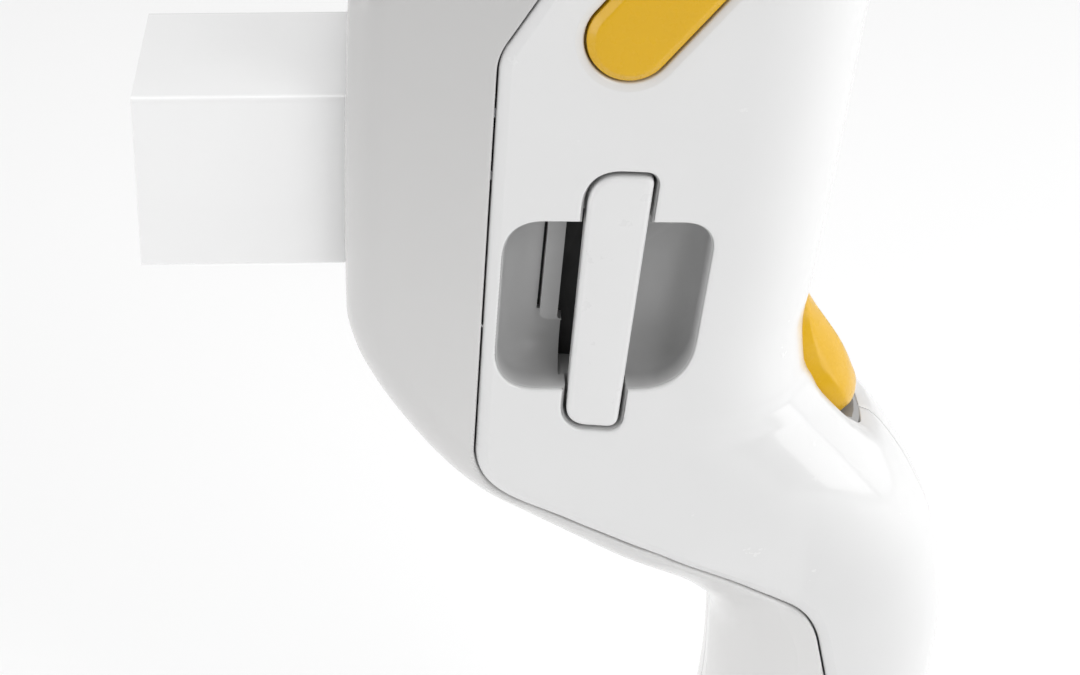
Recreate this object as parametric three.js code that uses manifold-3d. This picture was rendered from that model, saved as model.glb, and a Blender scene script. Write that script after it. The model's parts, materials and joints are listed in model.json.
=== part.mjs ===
// Pulsed-light hair removal handpiece: a pistol-shaped treatment head and handle with a clear light
// guide, a filter cassette that pulls out sideways, two release buttons and a rear trigger button.
// Millimetres. +X runs from the light guide's exit face back to the handle, +Y is the device's right
// side and +Z is up. The origin is the centre of the exit face.
import * as THREE from "three";
import { ConvexGeometry } from "three/addons/geometries/ConvexGeometry.js";
import { mergeVertices } from "three/addons/utils/BufferGeometryUtils.js";
import Module from "manifold-3d";

const wasm = await Module();
wasm.setup();

// ---- Driving dimensions ----
const GAP = 0.3; // clearance between neighbouring pieces
const WALL = 2.4; // thickness of housings and covers
const HEAD_HALF = 27; // half thickness of the treatment head
const HANDLE_HALF = 17.5; // half thickness of the handle
const TOP_Z = 60; // top of the head
const BOTTOM_Z = -178; // bottom of the handle
const TOP_ROUND = 10; // edge rounding at the top of the head
const BOTTOM_ROUND = 4; // edge rounding at the handle's end
const NOSE_X = 32.3; // foot of the head's flat front, which leans back a little
const REAR_ROUND = 20; // how far the rounded back reaches round the sides
const REAR_POWER = 2.4; // squareness of that rounding, where 2 is a plain ellipse
const END_CAP_Z = -171; // where the handle's end cap begins
const NECK = { x: 107, z: -50, slope: 0.4, depth: 34 }; // where the head narrows to the handle

const GUIDE = { length: 46, halfWidth: 17.5, halfHeight: 14.5, corner: 1 };
const FILTER_CENTRE = { x: 73.3, z: -16.9 };
const FILTER_TILT = THREE.MathUtils.degToRad(5);
const FILTER_WINDOW = { y0: -12, y1: 15, halfHeight: 16.2 };
const BAR = { halfHeight: 22.4, front: -27.2, back: -22.6, groove: 1 };
const POCKET = { floor: -16, groove: -21, rim: -24, wall: 1.4 };
const BUTTON = { radius: 6.56, from: [76.3, 27.1], to: [89.5, 42.1], proud: 1 };
const LEVER = { pivot: 57, face: 22.2, thick: 1.8 };
const LAMP = { x: 12.5, y: 1.5, radius: 4 };
const TRIGGER_PIN = { x: 105.4, z: -28.4, radius: 0.8 };
const PLUNGER_Z = -42.5; // height of the switch behind the trigger button
const GLAND = { x: 97, radius: 12, bore: 8.5, tip: -191 };

// Centres, in X and Z, of the screws that draw the two halves of the body together.
const HOUSING_SCREWS = [[44.5, 32], [46.8, -33.5], [101, -93], [93.4, -152]];
const COVER_SCREWS = [[107, 46]];
const SCREWS = [...HOUSING_SCREWS, ...COVER_SCREWS];

// Front and back of the body on its centre plane, as pairs of height and X.
const FRONT_PROFILE = [
  [-178, 79], [-140, 87], [-110, 91.4], [-98, 92.6], [-88, 92.8], [-82, 91.8], [-76, 87.8], [-67, 75],
  [-58.3, 60.5], [-54.3, 54], [-48.8, 48], [-39.5, 40.8], [-31.5, 36], [-26, 33.6], [-20, NOSE_X],
  [31, NOSE_X + 1.6], [36, 35], [60, 54.5],
];
const REAR_PROFILE = [
  [-178, 115], [-140, 125], [-106, 131.2], [-96, 132.6], [-88, 133.1], [-78, 132.1], [-70, 130],
  [-61, 125.9], [-53, 120.6], [-48.4, 116.8], [-45, 113.8], [-41, 110.2], [-36.5, 107.5], [-30, 106.8],
  [-22, 108.1], [-2.7, 111], [22.5, 114.4], [60, 119.4],
];
// Rounding of the body's front edges, as pairs of height and radius.
const FRONT_ROUNDING = [[-178, 14], [-92, 14], [-76, 9.5], [-58, 8], [-24, 6], [60, 6]];
// Line between the front housing and the side covers, as corners in X and Z with their rounding.
const SEAM = [
  [84.5, 66, 0], [56.7, 24.6, 9], [52, -50.4, 11], [82, -64.2, 25], [109.4, -82.4, 12], [112.3, -97, 12],
  [106, -140, 30], [96, -184, 0],
];
const BODY_LEVELS = [
  -157, -140, -125, -110, -98, -90, -84, -80, -77, -74, -70, -65, -60, -56, -52, -47, -41, -35, -29, -24,
  -20, -8, 6, 20, 30, 33, 37, 44,
];

// ---- Materials ----
function finish(color, roughness, metalness = 0) {
  return new THREE.MeshStandardMaterial({ color, roughness, metalness });
}

const MATERIALS = {
  pearl: finish(0xd4d4d3, 0.25),
  white: finish(0xe8e8e8, 0.3),
  yellow: finish(0xe0b228, 0.3),
  grey: finish(0x9a9a9a, 0.4),
  black: finish(0x161616, 0.7),
  crystal: finish(0xf4f6f6, 0.05),
  filter: finish(0xd98a3a, 0.08),
  quartz: finish(0xe6ecef, 0.06),
  silver: finish(0xdadcde, 0.12, 1),
  aluminium: finish(0xb4b7ba, 0.35, 1),
  steel: finish(0x8d9094, 0.3, 1),
  board: finish(0x1f5a3a, 0.6),
  ceramic: finish(0xe9e4d8, 0.7),
  tube: finish(0xcfd6da, 0.45),
  lead: finish(0x8c1d18, 0.6),
};

// ---- Curves and outlines ----
// A smooth monotone curve through pairs of position and value.
function smoothThrough(pairs) {
  const slopes = pairs.slice(1).map(([t, v], i) => (v - pairs[i][1]) / (t - pairs[i][0]));
  const tangents = pairs.map((_, i) => {
    const before = slopes[Math.max(0, i - 1)];
    const after = slopes[Math.min(i, slopes.length - 1)];
    return before * after > 0 ? (2 * before * after) / (before + after) : 0;
  });
  return (t) => {
    const last = pairs.length - 2;
    const i = Math.min(last, Math.max(0, pairs.findIndex(([position]) => position > t) - 1));
    const index = t >= pairs[last][0] ? last : i;
    const [t0, v0] = pairs[index];
    const [t1, v1] = pairs[index + 1];
    const span = t1 - t0;
    const u = THREE.MathUtils.clamp((t - t0) / span, 0, 1);
    const rise = v1 - v0;
    const start = tangents[index] * span;
    const end = tangents[index + 1] * span;
    return v0 + u * (start + u * (3 * rise - 2 * start - end + u * (start + end - 2 * rise)));
  };
}

// A closed outline whose corners, each [a, b, radius], are rounded off.
function rounded(corners, steps = 4) {
  return corners.flatMap(([a, b, radius], i) => {
    const corner = new THREE.Vector2(a, b);
    if (!radius) return [[a, b]];
    const before = new THREE.Vector2(...corners.at(i - 1)).sub(corner).normalize();
    const after = new THREE.Vector2(...corners[(i + 1) % corners.length]).sub(corner).normalize();
    const reach = radius / Math.tan(Math.acos(before.dot(after)) / 2);
    const start = corner.clone().addScaledVector(before, reach);
    const end = corner.clone().addScaledVector(after, reach);
    const curve = new THREE.QuadraticBezierCurve(start, corner, end);
    return curve.getPoints(steps).map((point) => [point.x, point.y]);
  });
}

function rectangle(a0, b0, a1, b1, radius = 0) {
  return rounded([[a0, b0, radius], [a1, b0, radius], [a1, b1, radius], [a0, b1, radius]]);
}

function disc(a, b, radius, steps = 16) {
  return Array.from({ length: steps }, (_, i) => {
    const angle = (i / steps) * 2 * Math.PI;
    return [a + radius * Math.cos(angle), b + radius * Math.sin(angle)];
  });
}

// A slot with round ends between two centres.
function obround([a0, b0], [a1, b1], radius, steps = 8) {
  const heading = Math.atan2(b1 - b0, a1 - a0);
  const end = (a, b, from) => Array.from({ length: steps + 1 }, (_, i) => {
    const angle = from + (i / steps) * Math.PI;
    return [a + radius * Math.cos(angle), b + radius * Math.sin(angle)];
  });
  return [...end(a1, b1, heading - Math.PI / 2), ...end(a0, b0, heading + Math.PI / 2)];
}

// The outline moved outwards by a distance, or inwards by a negative one.
function grown(outline, distance) {
  const area = THREE.ShapeUtils.area(outline.map(([a, b]) => new THREE.Vector2(a, b)));
  const side = Math.sign(area) * distance;
  const normal = ([a0, b0], [a1, b1]) => new THREE.Vector2(b1 - b0, a0 - a1).normalize();
  const clean = outline.filter(([a, b], i) => {
    const [lastA, lastB] = outline.at(i - 1);
    return Math.hypot(a - lastA, b - lastB) > 1e-6;
  });
  return clean.map((point, i) => {
    const before = normal(clean.at(i - 1), point);
    const after = normal(point, clean[(i + 1) % clean.length]);
    const middle = before.clone().add(after).normalize();
    const reach = side / Math.max(0.3, middle.dot(after));
    return [point[0] + middle.x * reach, point[1] + middle.y * reach];
  });
}

// ---- Solids ----
function solid(geometry) {
  const bare = geometry.clone();
  bare.deleteAttribute("normal");
  bare.deleteAttribute("uv");
  const merged = mergeVertices(bare, 1e-4);
  const vertProperties = new Float32Array(merged.attributes.position.array);
  const triVerts = new Uint32Array(merged.index.array);
  return new wasm.Manifold(new wasm.Mesh({ numProp: 3, vertProperties, triVerts }));
}

// Turns an extrusion of (a, b) outlines along +Z so that it runs along the named axis instead.
const ALONG = {
  X: new THREE.Matrix4().set(0, 0, 1, 0, 1, 0, 0, 0, 0, 1, 0, 0, 0, 0, 0, 1),
  Y: new THREE.Matrix4().set(1, 0, 0, 0, 0, 0, -1, 0, 0, 1, 0, 0, 0, 0, 0, 1),
  Z: new THREE.Matrix4(),
};

// A prism of an outline given in (Y, Z), (X, Z) or (X, Y), between two places on the other axis.
function prism(axis, outline, from, to) {
  const shape = new THREE.Shape(outline.map(([a, b]) => new THREE.Vector2(a, b)));
  const geometry = new THREE.ExtrudeGeometry(shape, { depth: to - from, bevelEnabled: false });
  const start = axis === "Y" ? -to : from;
  return solid(geometry.translate(0, 0, start).applyMatrix4(ALONG[axis]));
}

function block(x0, x1, y0, y1, z0, z1) {
  const geometry = new THREE.BoxGeometry(x1 - x0, y1 - y0, z1 - z0);
  return solid(geometry.translate((x0 + x1) / 2, (y0 + y1) / 2, (z0 + z1) / 2));
}

const union = (...parts) => parts.reduce((whole, part) => whole.add(part));

// A round bar along an axis, centred at (a, b) of the other two.
const rod = (axis, a, b, radius, from, to, steps = 12) => prism(axis, disc(a, b, radius, steps), from, to);

// A coil spring along Y with open ends.
function coilSpring(x, z, radius, wire, from, to, turns) {
  const steps = turns * 8;
  const points = Array.from({ length: steps + 1 }, (_, i) => {
    const angle = (i / steps) * turns * 2 * Math.PI;
    const y = from + wire + ((to - from - 2 * wire) * i) / steps;
    return new THREE.Vector3(x + radius * Math.cos(angle), y, z + radius * Math.sin(angle));
  });
  return sweep(points, disc(0, 0, wire, 5), steps);
}

// The convex solid round points given as [x, y, z].
function hull(points) {
  return solid(new ConvexGeometry(points.map((point) => new THREE.Vector3(...point))));
}

// A solid of an outline drawn along a smooth curve through points.
function sweep(points, outline, steps) {
  const shape = new THREE.Shape(outline.map(([a, b]) => new THREE.Vector2(a, b)));
  const extrudePath = new THREE.CatmullRomCurve3(points);
  return solid(new THREE.ExtrudeGeometry(shape, { steps, bevelEnabled: false, extrudePath }));
}

// ---- The body's outer form ----
const frontX = smoothThrough(FRONT_PROFILE);
const rearX = smoothThrough(REAR_PROFILE);
const frontRounding = smoothThrough(FRONT_ROUNDING);

// How much a distance square to a profile grows when it is measured along X.
function stretch(profile, z) {
  const step = 0.5;
  return Math.hypot(1, (profile(z + step) - profile(z - step)) / (2 * step));
}

function halfThickness(x, z) {
  const neckTop = NECK.z - NECK.slope * Math.max(0, NECK.x - x);
  const share = THREE.MathUtils.smoothstep(neckTop - z, 0, NECK.depth);
  return THREE.MathUtils.lerp(HEAD_HALF, HANDLE_HALF, share);
}

// How far a level near one of the rounded ends draws in.
function drawIn(distance, radius) {
  return distance < radius ? radius - Math.sqrt(radius ** 2 - (radius - Math.max(0, distance)) ** 2) : 0;
}

// Everything that describes the body's section at a height, for a surface inset from the outside.
function sectionAt(z, inset) {
  const topIn = drawIn(TOP_Z - inset - z, TOP_ROUND - inset);
  const bottomIn = drawIn(z - BOTTOM_Z - inset, Math.max(1, BOTTOM_ROUND - inset));
  const shift = inset + topIn + bottomIn;
  const frontStretch = stretch(frontX, z);
  const rearStretch = stretch(rearX, z);
  const edge = Math.max(1.5, frontRounding(z) - inset);
  return {
    shift,
    edge,
    front: frontX(z) + shift * frontStretch,
    rear: rearX(z) - shift * rearStretch,
    frontReach: edge * frontStretch,
    rearReach: (REAR_ROUND - inset) * rearStretch,
  };
}

// Half thickness of the body at a point seen from the side.
function surfaceY(x, z, inset) {
  const section = sectionAt(z, inset);
  const round = (distance, reach, power) => {
    const left = 1 - THREE.MathUtils.clamp(distance / reach, 0, 1);
    return (1 - left ** power) ** (1 / power);
  };
  const full = halfThickness(x, z) - section.shift;
  const front = section.edge * (1 - round(x - section.front, section.frontReach, 2));
  return (full - front) * round(section.rear - x, section.rearReach, REAR_POWER);
}

// One level of the body as a loop of [x, y], from the back round the right side to the front and back.
function bodyLoop(z, inset) {
  const section = sectionAt(z, inset);
  const quarter = (steps) => Array.from({ length: steps }, (_, i) => (i / steps) * (Math.PI / 2));
  const flatFrom = section.front + section.frontReach;
  const flatTo = section.rear - section.rearReach;
  const xs = [
    ...quarter(6).map((angle) => section.rear - section.rearReach * (1 - Math.cos(angle))),
    ...[0, 0.25, 0.5, 0.75].map((share) => THREE.MathUtils.lerp(flatTo, flatFrom, share)),
    flatFrom,
    ...quarter(4).reverse().map((angle) => section.front + section.frontReach * (1 - Math.cos(angle))),
  ];
  const right = xs.map((x) => [x, surfaceY(x, z, inset)]);
  const left = right.slice(1).reverse().map(([x, y]) => [x, -y]);
  return [...right, ...left];
}

// The closed body, inset from its outside by a distance.
function bodySolid(inset) {
  const top = TOP_Z - inset;
  const bottom = BOTTOM_Z + inset;
  const topRadius = TOP_ROUND - inset;
  const bottomRadius = Math.max(1, BOTTOM_ROUND - inset);
  const turn = [0, 1, 2, 3].map((i) => 1 - Math.cos((i * Math.PI) / 6));
  const levels = [
    ...turn.map((share) => bottom + bottomRadius * share),
    ...BODY_LEVELS,
    ...turn.map((share) => top - topRadius * share).reverse(),
  ];
  const loops = levels.map((z) => bodyLoop(z, inset).map(([x, y]) => [x, y, z]));
  const count = loops[0].length;
  const index = [];
  for (let level = 0; level + 1 < loops.length; level += 1) {
    for (let i = 0; i < count; i += 1) {
      const low = level * count + i;
      const lowNext = level * count + ((i + 1) % count);
      index.push(low, lowNext, lowNext + count, low, lowNext + count, low + count);
    }
  }
  const topStart = (loops.length - 1) * count;
  for (let i = 1; i + 1 < count; i += 1) {
    index.push(0, i + 1, i);
    index.push(topStart, topStart + i, topStart + i + 1);
  }
  const geometry = new THREE.BufferGeometry();
  geometry.setAttribute("position", new THREE.Float32BufferAttribute(loops.flat(2), 3));
  geometry.setIndex(index);
  return solid(geometry);
}

// ---- Assembly ----
const handpiece = new THREE.Group();
const filterBench = new THREE.Group();
filterBench.position.set(FILTER_CENTRE.x, 0, FILTER_CENTRE.z);
filterBench.rotation.y = FILTER_TILT;
handpiece.add(filterBench);

function place(name, shape, material, group = handpiece) {
  const { vertProperties, triVerts } = shape.getMesh();
  const geometry = new THREE.BufferGeometry();
  geometry.setAttribute("position", new THREE.Float32BufferAttribute(vertProperties, 3));
  geometry.setIndex(new THREE.Uint32BufferAttribute(triVerts, 1));
  geometry.computeVertexNormals();
  const mesh = new THREE.Mesh(geometry, material);
  mesh.name = name;
  group.add(mesh);
}

// A point of the filter bench, [along, up], as [x, z] of the body.
function benchToBody([a, b]) {
  const cos = Math.cos(FILTER_TILT);
  const sin = Math.sin(FILTER_TILT);
  return [FILTER_CENTRE.x + a * cos + b * sin, FILTER_CENTRE.z - a * sin + b * cos];
}

const SIDES = [["left", -1], ["right", 1]];
const FAR = 80; // beyond the body on every side

const barOutline = rounded([
  [-4.7, -BAR.halfHeight, 3.6], [3.7, -BAR.halfHeight, 1.9], [5.3, BAR.halfHeight - 0.6, 1.4],
  [-4.7, BAR.halfHeight - 0.9, 5.5],
]);
const pocketOutline = rounded([
  [-16.9, -17.2, 6.5], [14.8, -15.8, 9.5], [15.9, 14.9, 4.5], [-16, 13, 4.5],
]);
const grooveOutline = grown(barOutline, BAR.groove);
const triggerRecess = rounded([[-4.2, -25.4, 3], [-11.2, -50.1, 6], [11.2, -50.1, 6], [4.2, -25.4, 3]]);
function noseOutline(clear) {
  const halfWidth = GUIDE.halfWidth + clear;
  const halfHeight = GUIDE.halfHeight + clear;
  return rectangle(-halfWidth, -halfHeight, halfWidth, halfHeight, GUIDE.corner);
}

// The holes that the body's shells share.
function bodyOpenings() {
  const holes = [
    prism("X", noseOutline(1.7), NOSE_X - 5, NOSE_X + 5),
    prism("Y", pocketOutline.map(benchToBody), -FAR, -10),
    prism("Y", grooveOutline.map(benchToBody), -FAR, -10),
    prism("Y", grown(obround(BUTTON.from, BUTTON.to, BUTTON.radius), GAP + 0.1), -FAR, FAR),
    prism("X", grown(triggerRecess, 1.6), 100, FAR * 2),
  ];
  return union(...holes);
}

function buildShells() {
  const hollow = bodySolid(0).subtract(bodySolid(WALL));
  const inner = bodySolid(WALL - 0.4);
  const seam = [...rounded(SEAM), [FAR * 2, -184], [FAR * 2, 66]];
  const openings = bodyOpenings();
  const clearOfGuide = prism("X", noseOutline(4), 0, 60);
  for (const [side, sign] of SIDES) {
    const half = sign < 0 ? [-FAR, -GAP / 2] : [GAP / 2, FAR];
    const halfSpace = block(-FAR, 2 * FAR, ...half, END_CAP_Z, FAR);
    let housing = hollow.intersect(halfSpace).subtract(prism("Y", grown(seam, GAP), -FAR, FAR));
    let cover = hollow.intersect(halfSpace).intersect(prism("Y", seam, -FAR, FAR));
    for (const screw of SCREWS) {
      const [x, z] = screw;
      const boss = rod("Y", x, z, 3.6, sign < 0 ? -FAR : 9.3, sign < 0 ? 9 : FAR).intersect(inner);
      const bore = rod("Y", x, z, 1.6, -4, FAR);
      const counterbore = rod("Y", x, z, 3.2, surfaceY(x, z, 0) - 3.4, FAR);
      const cut = sign > 0 ? bore.add(counterbore) : bore;
      if (COVER_SCREWS.includes(screw)) cover = cover.add(boss).subtract(cut);
      else housing = housing.add(boss).subtract(cut);
    }
    housing = housing.subtract(clearOfGuide.intersect(bodySolid(WALL - 0.05))).subtract(openings);
    place(`housing_${side}`, housing, MATERIALS.pearl);
    place(`side_cover_${side}`, cover.subtract(openings), MATERIALS.white);
  }
  SCREWS.forEach(([x, z], i) => {
    const seat = surfaceY(x, z, 0) - 3.1;
    const socket = prism("Y", disc(x, z, 1.2, 6), seat + 0.9, seat + 3);
    const head = rod("Y", x, z, 2.8, seat, seat + 1.9).subtract(socket);
    place(`case_screw_${i + 1}`, head.add(rod("Y", x, z, 1.3, -3, seat + 0.1, 10)), MATERIALS.steel);
  });
}

function buildHandleEnd() {
  const hole = rod("Z", GLAND.x, 0, GLAND.radius - 3 + GAP, BOTTOM_Z - 5, END_CAP_Z + 5, 20);
  const slice = block(-FAR, 2 * FAR, -FAR, FAR, BOTTOM_Z - 1, END_CAP_Z - GAP);
  place("handle_end_cap", bodySolid(0).intersect(slice).subtract(hole), MATERIALS.pearl);
  const profile = [
    [GLAND.bore, GLAND.tip], [GLAND.radius - 1, GLAND.tip], [GLAND.radius, GLAND.tip + 1],
    [GLAND.radius, BOTTOM_Z - 2.5], [GLAND.radius - 1, BOTTOM_Z - GAP], [GLAND.radius - 3, BOTTOM_Z - GAP],
    [GLAND.radius - 3, -168], [GLAND.bore, -168], [GLAND.bore, GLAND.tip],
  ].map(([r, z]) => new THREE.Vector2(r, z));
  const gland = solid(new THREE.LatheGeometry(profile, 24).rotateX(Math.PI / 2).translate(GLAND.x, 0, 0));
  place("cable_gland", gland, MATERIALS.grey);
  const nutBore = rod("Z", GLAND.x, 0, GLAND.radius - 3 + GAP, -172, -166, 20);
  const nut = rod("Z", GLAND.x, 0, GLAND.radius, -170.6, -168.6, 6).subtract(nutBore);
  place("gland_nut", nut, MATERIALS.steel);
}

function buildLightGuide() {
  place("light_guide", prism("X", noseOutline(0), 0, GUIDE.length), MATERIALS.crystal);
  const seal = prism("X", noseOutline(1.4), NOSE_X + 1.2, NOSE_X + 3.4)
    .subtract(prism("X", noseOutline(GAP), NOSE_X, NOSE_X + 4));
  place("nose_seal", seal, MATERIALS.black);
  const ring = prism("X", noseOutline(2.4), NOSE_X + 4.3, GUIDE.length + 1);
  let holder = ring;
  for (const sign of [-1, 1]) {
    for (const z of [3, 13.5]) {
      const [y0, y1] = [sign * 18.6, sign * 23.8].sort((a, b) => a - b);
      holder = holder.add(block(44, LEVER.pivot + 3, y0, y1, z, z + 1.5));
    }
  }
  holder = holder.subtract(prism("X", noseOutline(GAP), NOSE_X, GUIDE.length + 3));
  holder = holder.subtract(block(37, 44, -40, 40, 4.6, 13.4));
  for (const sign of [-1, 1]) {
    holder = holder.subtract(rod("Z", LEVER.pivot, sign * (LEVER.face - 0.9), 1.1, 0, 18));
  }
  place("light_guide_holder", holder, MATERIALS.aluminium);
}

// The clamp lever, button, spring and pivot pin on one side of the head.
function buildRelease(side, sign) {
  const span = (near, far) => [sign * near, sign * far].sort((a, b) => a - b);
  const leverOutline = rounded([
    [37.5, 5, 0], [62, 5, 3], [79.5, 21.5, 2], [81.5, 31, 1.5], [76, 32, 1.5], [72.5, 23, 2], [60, 13, 2],
    [37.5, 13, 0],
  ]);
  const pinY = sign * (LEVER.face - 0.9);
  const arm = prism("Y", leverOutline, ...span(LEVER.face, LEVER.face - LEVER.thick));
  const pad = block(38, 42.5, ...span(LEVER.face - 1, GUIDE.halfWidth + GAP), 6, 12);
  const hub = rod("Z", LEVER.pivot, pinY, 1.9, 5, 13);
  const bore = rod("Z", LEVER.pivot, pinY, 1.1, 0, 18);
  place(`release_lever_${side}`, union(arm, pad, hub).subtract(bore), MATERIALS.steel);
  place(`lever_pin_${side}`, rod("Z", LEVER.pivot, pinY, 0.8, 2.6, 15.4), MATERIALS.steel);

  const outline = obround(BUTTON.from, BUTTON.to, BUTTON.radius);
  const top = HEAD_HALF + BUTTON.proud;
  const crown = prism("Y", grown(outline, -1.2), ...span(top, top - 1)).add(
    prism("Y", outline, ...span(top - 0.9, HEAD_HALF - 2.9)),
  );
  const flange = prism("Y", grown(outline, 1.3), ...span(HEAD_HALF - WALL - GAP, HEAD_HALF - 3.4));
  const stem = rod("Y", 78, 28, 2, ...span(HEAD_HALF - 3.2, LEVER.face + GAP));
  place(`release_button_${side}`, union(crown, flange, stem), MATERIALS.yellow);
  const spring = coilSpring(78, 28, 2, 0.4, ...span(LEVER.face - LEVER.thick - GAP, 10.3), 5);
  place(`release_spring_${side}`, spring, MATERIALS.steel);
}

function buildReleaseSeat() {
  let seat = prism("Y", obround(BUTTON.from, BUTTON.to, 5.5), -11.5, 11.5);
  for (const [from, to] of [[-12, -10], [10, 12]]) seat = seat.subtract(rod("Y", 78, 28, 2.9, from, to));
  place("release_seat", seat, MATERIALS.grey);
}

function buildFilter() {
  place("filter_handle", prism("Y", barOutline, BAR.front, BAR.back), MATERIALS.white, filterBench);
  const window = FILTER_WINDOW;
  const frameOutline = rectangle(BAR.back + GAP, -19.7, 18, 19.7, 1.5);
  const opening = rectangle(window.y0, -window.halfHeight, window.y1, window.halfHeight, 1);
  const frame = prism("X", frameOutline, -2.2, 2.2).subtract(prism("X", opening, -3, 3));
  place("filter_frame", frame, MATERIALS.grey, filterBench);
  place("filter_glass", prism("X", grown(opening, -GAP), -1.2, 1.2), MATERIALS.filter, filterBench);

  const groove = prism("Y", grooveOutline, -FAR, POCKET.groove);
  const cavity = prism("Y", pocketOutline, -FAR, POCKET.floor).add(groove);
  const cup = prism("Y", grown(pocketOutline, POCKET.wall), POCKET.rim, POCKET.floor + POCKET.wall)
    .add(prism("Y", grown(grooveOutline, POCKET.wall), POCKET.rim, POCKET.groove + POCKET.wall));
  const slot = block(-2.6, 2.6, -FAR, 0, -20.1, 20.1);
  const collar = block(-9.8, 3.4, POCKET.floor - 1.2, POCKET.floor + 0.2, -8, 13);
  place("filter_pocket", cup.subtract(cavity).add(collar).subtract(slot), MATERIALS.grey, filterBench);

  for (const [name, sign] of [["upper", 1], ["lower", -1]]) {
    const [low, high] = [sign * 18.6, sign * 23].sort((a, b) => a - b);
    const [grooveLow, grooveHigh] = [sign * 17, sign * 20.1].sort((a, b) => a - b);
    const track = block(-2.6, 2.6, -20, 20, grooveLow, grooveHigh);
    const rail = block(-4.2, 4.2, -13.3, 18.4, low, high).subtract(track);
    place(`filter_rail_${name}`, rail, MATERIALS.aluminium, filterBench);
  }
}

// The mirrored duct between the filter window and the light guide.
function buildDuct() {
  const corners = (x, y0, y1, z0, z1) => [[x, y0, z0], [x, y1, z0], [x, y1, z1], [x, y0, z1]];
  const bench = (a, y0, y1, b0, b1) => corners(0, y0, y1, b0, b1).map(([, y, b]) => {
    const [x, z] = benchToBody([a, b]);
    return [x, y, z];
  });
  const outer = hull([...corners(47.4, -13.8, 17.4, -14.4, 14.4), ...bench(-4.6, -13.2, 16.2, -17.4, 17.4)]);
  const inner = hull([...corners(47.3, -12.6, 16.2, -13.2, 13.2), ...bench(-4.5, -12, 15, -16.2, 16.2)]);
  const inside = inner.add(block(46, 47.5, -12.6, 16.2, -13.2, 13.2));
  place("mirror_duct", outer.subtract(inside), MATERIALS.silver);
}

function buildLamp() {
  const arch = (reachX, reachY) => {
    const curve = Array.from({ length: 13 }, (_, i) => {
      const angle = -Math.PI / 2 + (i / 12) * Math.PI;
      return [5 + reachX * Math.cos(angle), LAMP.y + reachY * Math.sin(angle)];
    });
    return [[2, LAMP.y - reachY], ...curve, [2, LAMP.y + reachY]];
  };
  const bench = (name, shape, material) => place(name, shape, material, filterBench);
  const keep = block(5, 40, -40, 40, -17.6, 17.6);
  const mirror = prism("Z", arch(14.3, 13), -17.6, 17.6).subtract(prism("Z", arch(13.1, 11.8), -20, 20));
  bench("lamp_reflector", mirror.intersect(keep), MATERIALS.silver);
  const jacket = block(5, 22.6, -13.9, 16.9, -17.9, 17.9).subtract(prism("Z", arch(14.6, 13.3), -20, 20));
  bench("lamp_jacket", jacket, MATERIALS.aluminium);
  const glass = [
    [0, -26.5], [2.6, -26.5], [LAMP.radius, -24.6], [LAMP.radius, 24.6], [2.6, 26.5], [0, 26.5],
  ];
  const tube = new THREE.LatheGeometry(glass.map(([r, z]) => new THREE.Vector2(r, z)), 16);
  bench("flash_lamp", solid(tube.rotateX(Math.PI / 2).translate(LAMP.x, LAMP.y, 0)), MATERIALS.quartz);
  for (const [name, sign] of [["upper", 1], ["lower", -1]]) {
    const [low, high] = [sign * 18.2, sign * 26].sort((a, b) => a - b);
    const [capLow, capHigh] = [sign * 26.8, sign * 33].sort((a, b) => a - b);
    const bore = rod("Z", LAMP.x, LAMP.y, LAMP.radius + GAP, -40, 40, 16);
    bench(`lamp_holder_${name}`, block(5.2, 22.6, -13.9, 16.9, low, high).subtract(bore), MATERIALS.ceramic);
    bench(`lamp_contact_${name}`, rod("Z", LAMP.x, LAMP.y, 5, capLow, capHigh, 14), MATERIALS.steel);
  }
}

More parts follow.
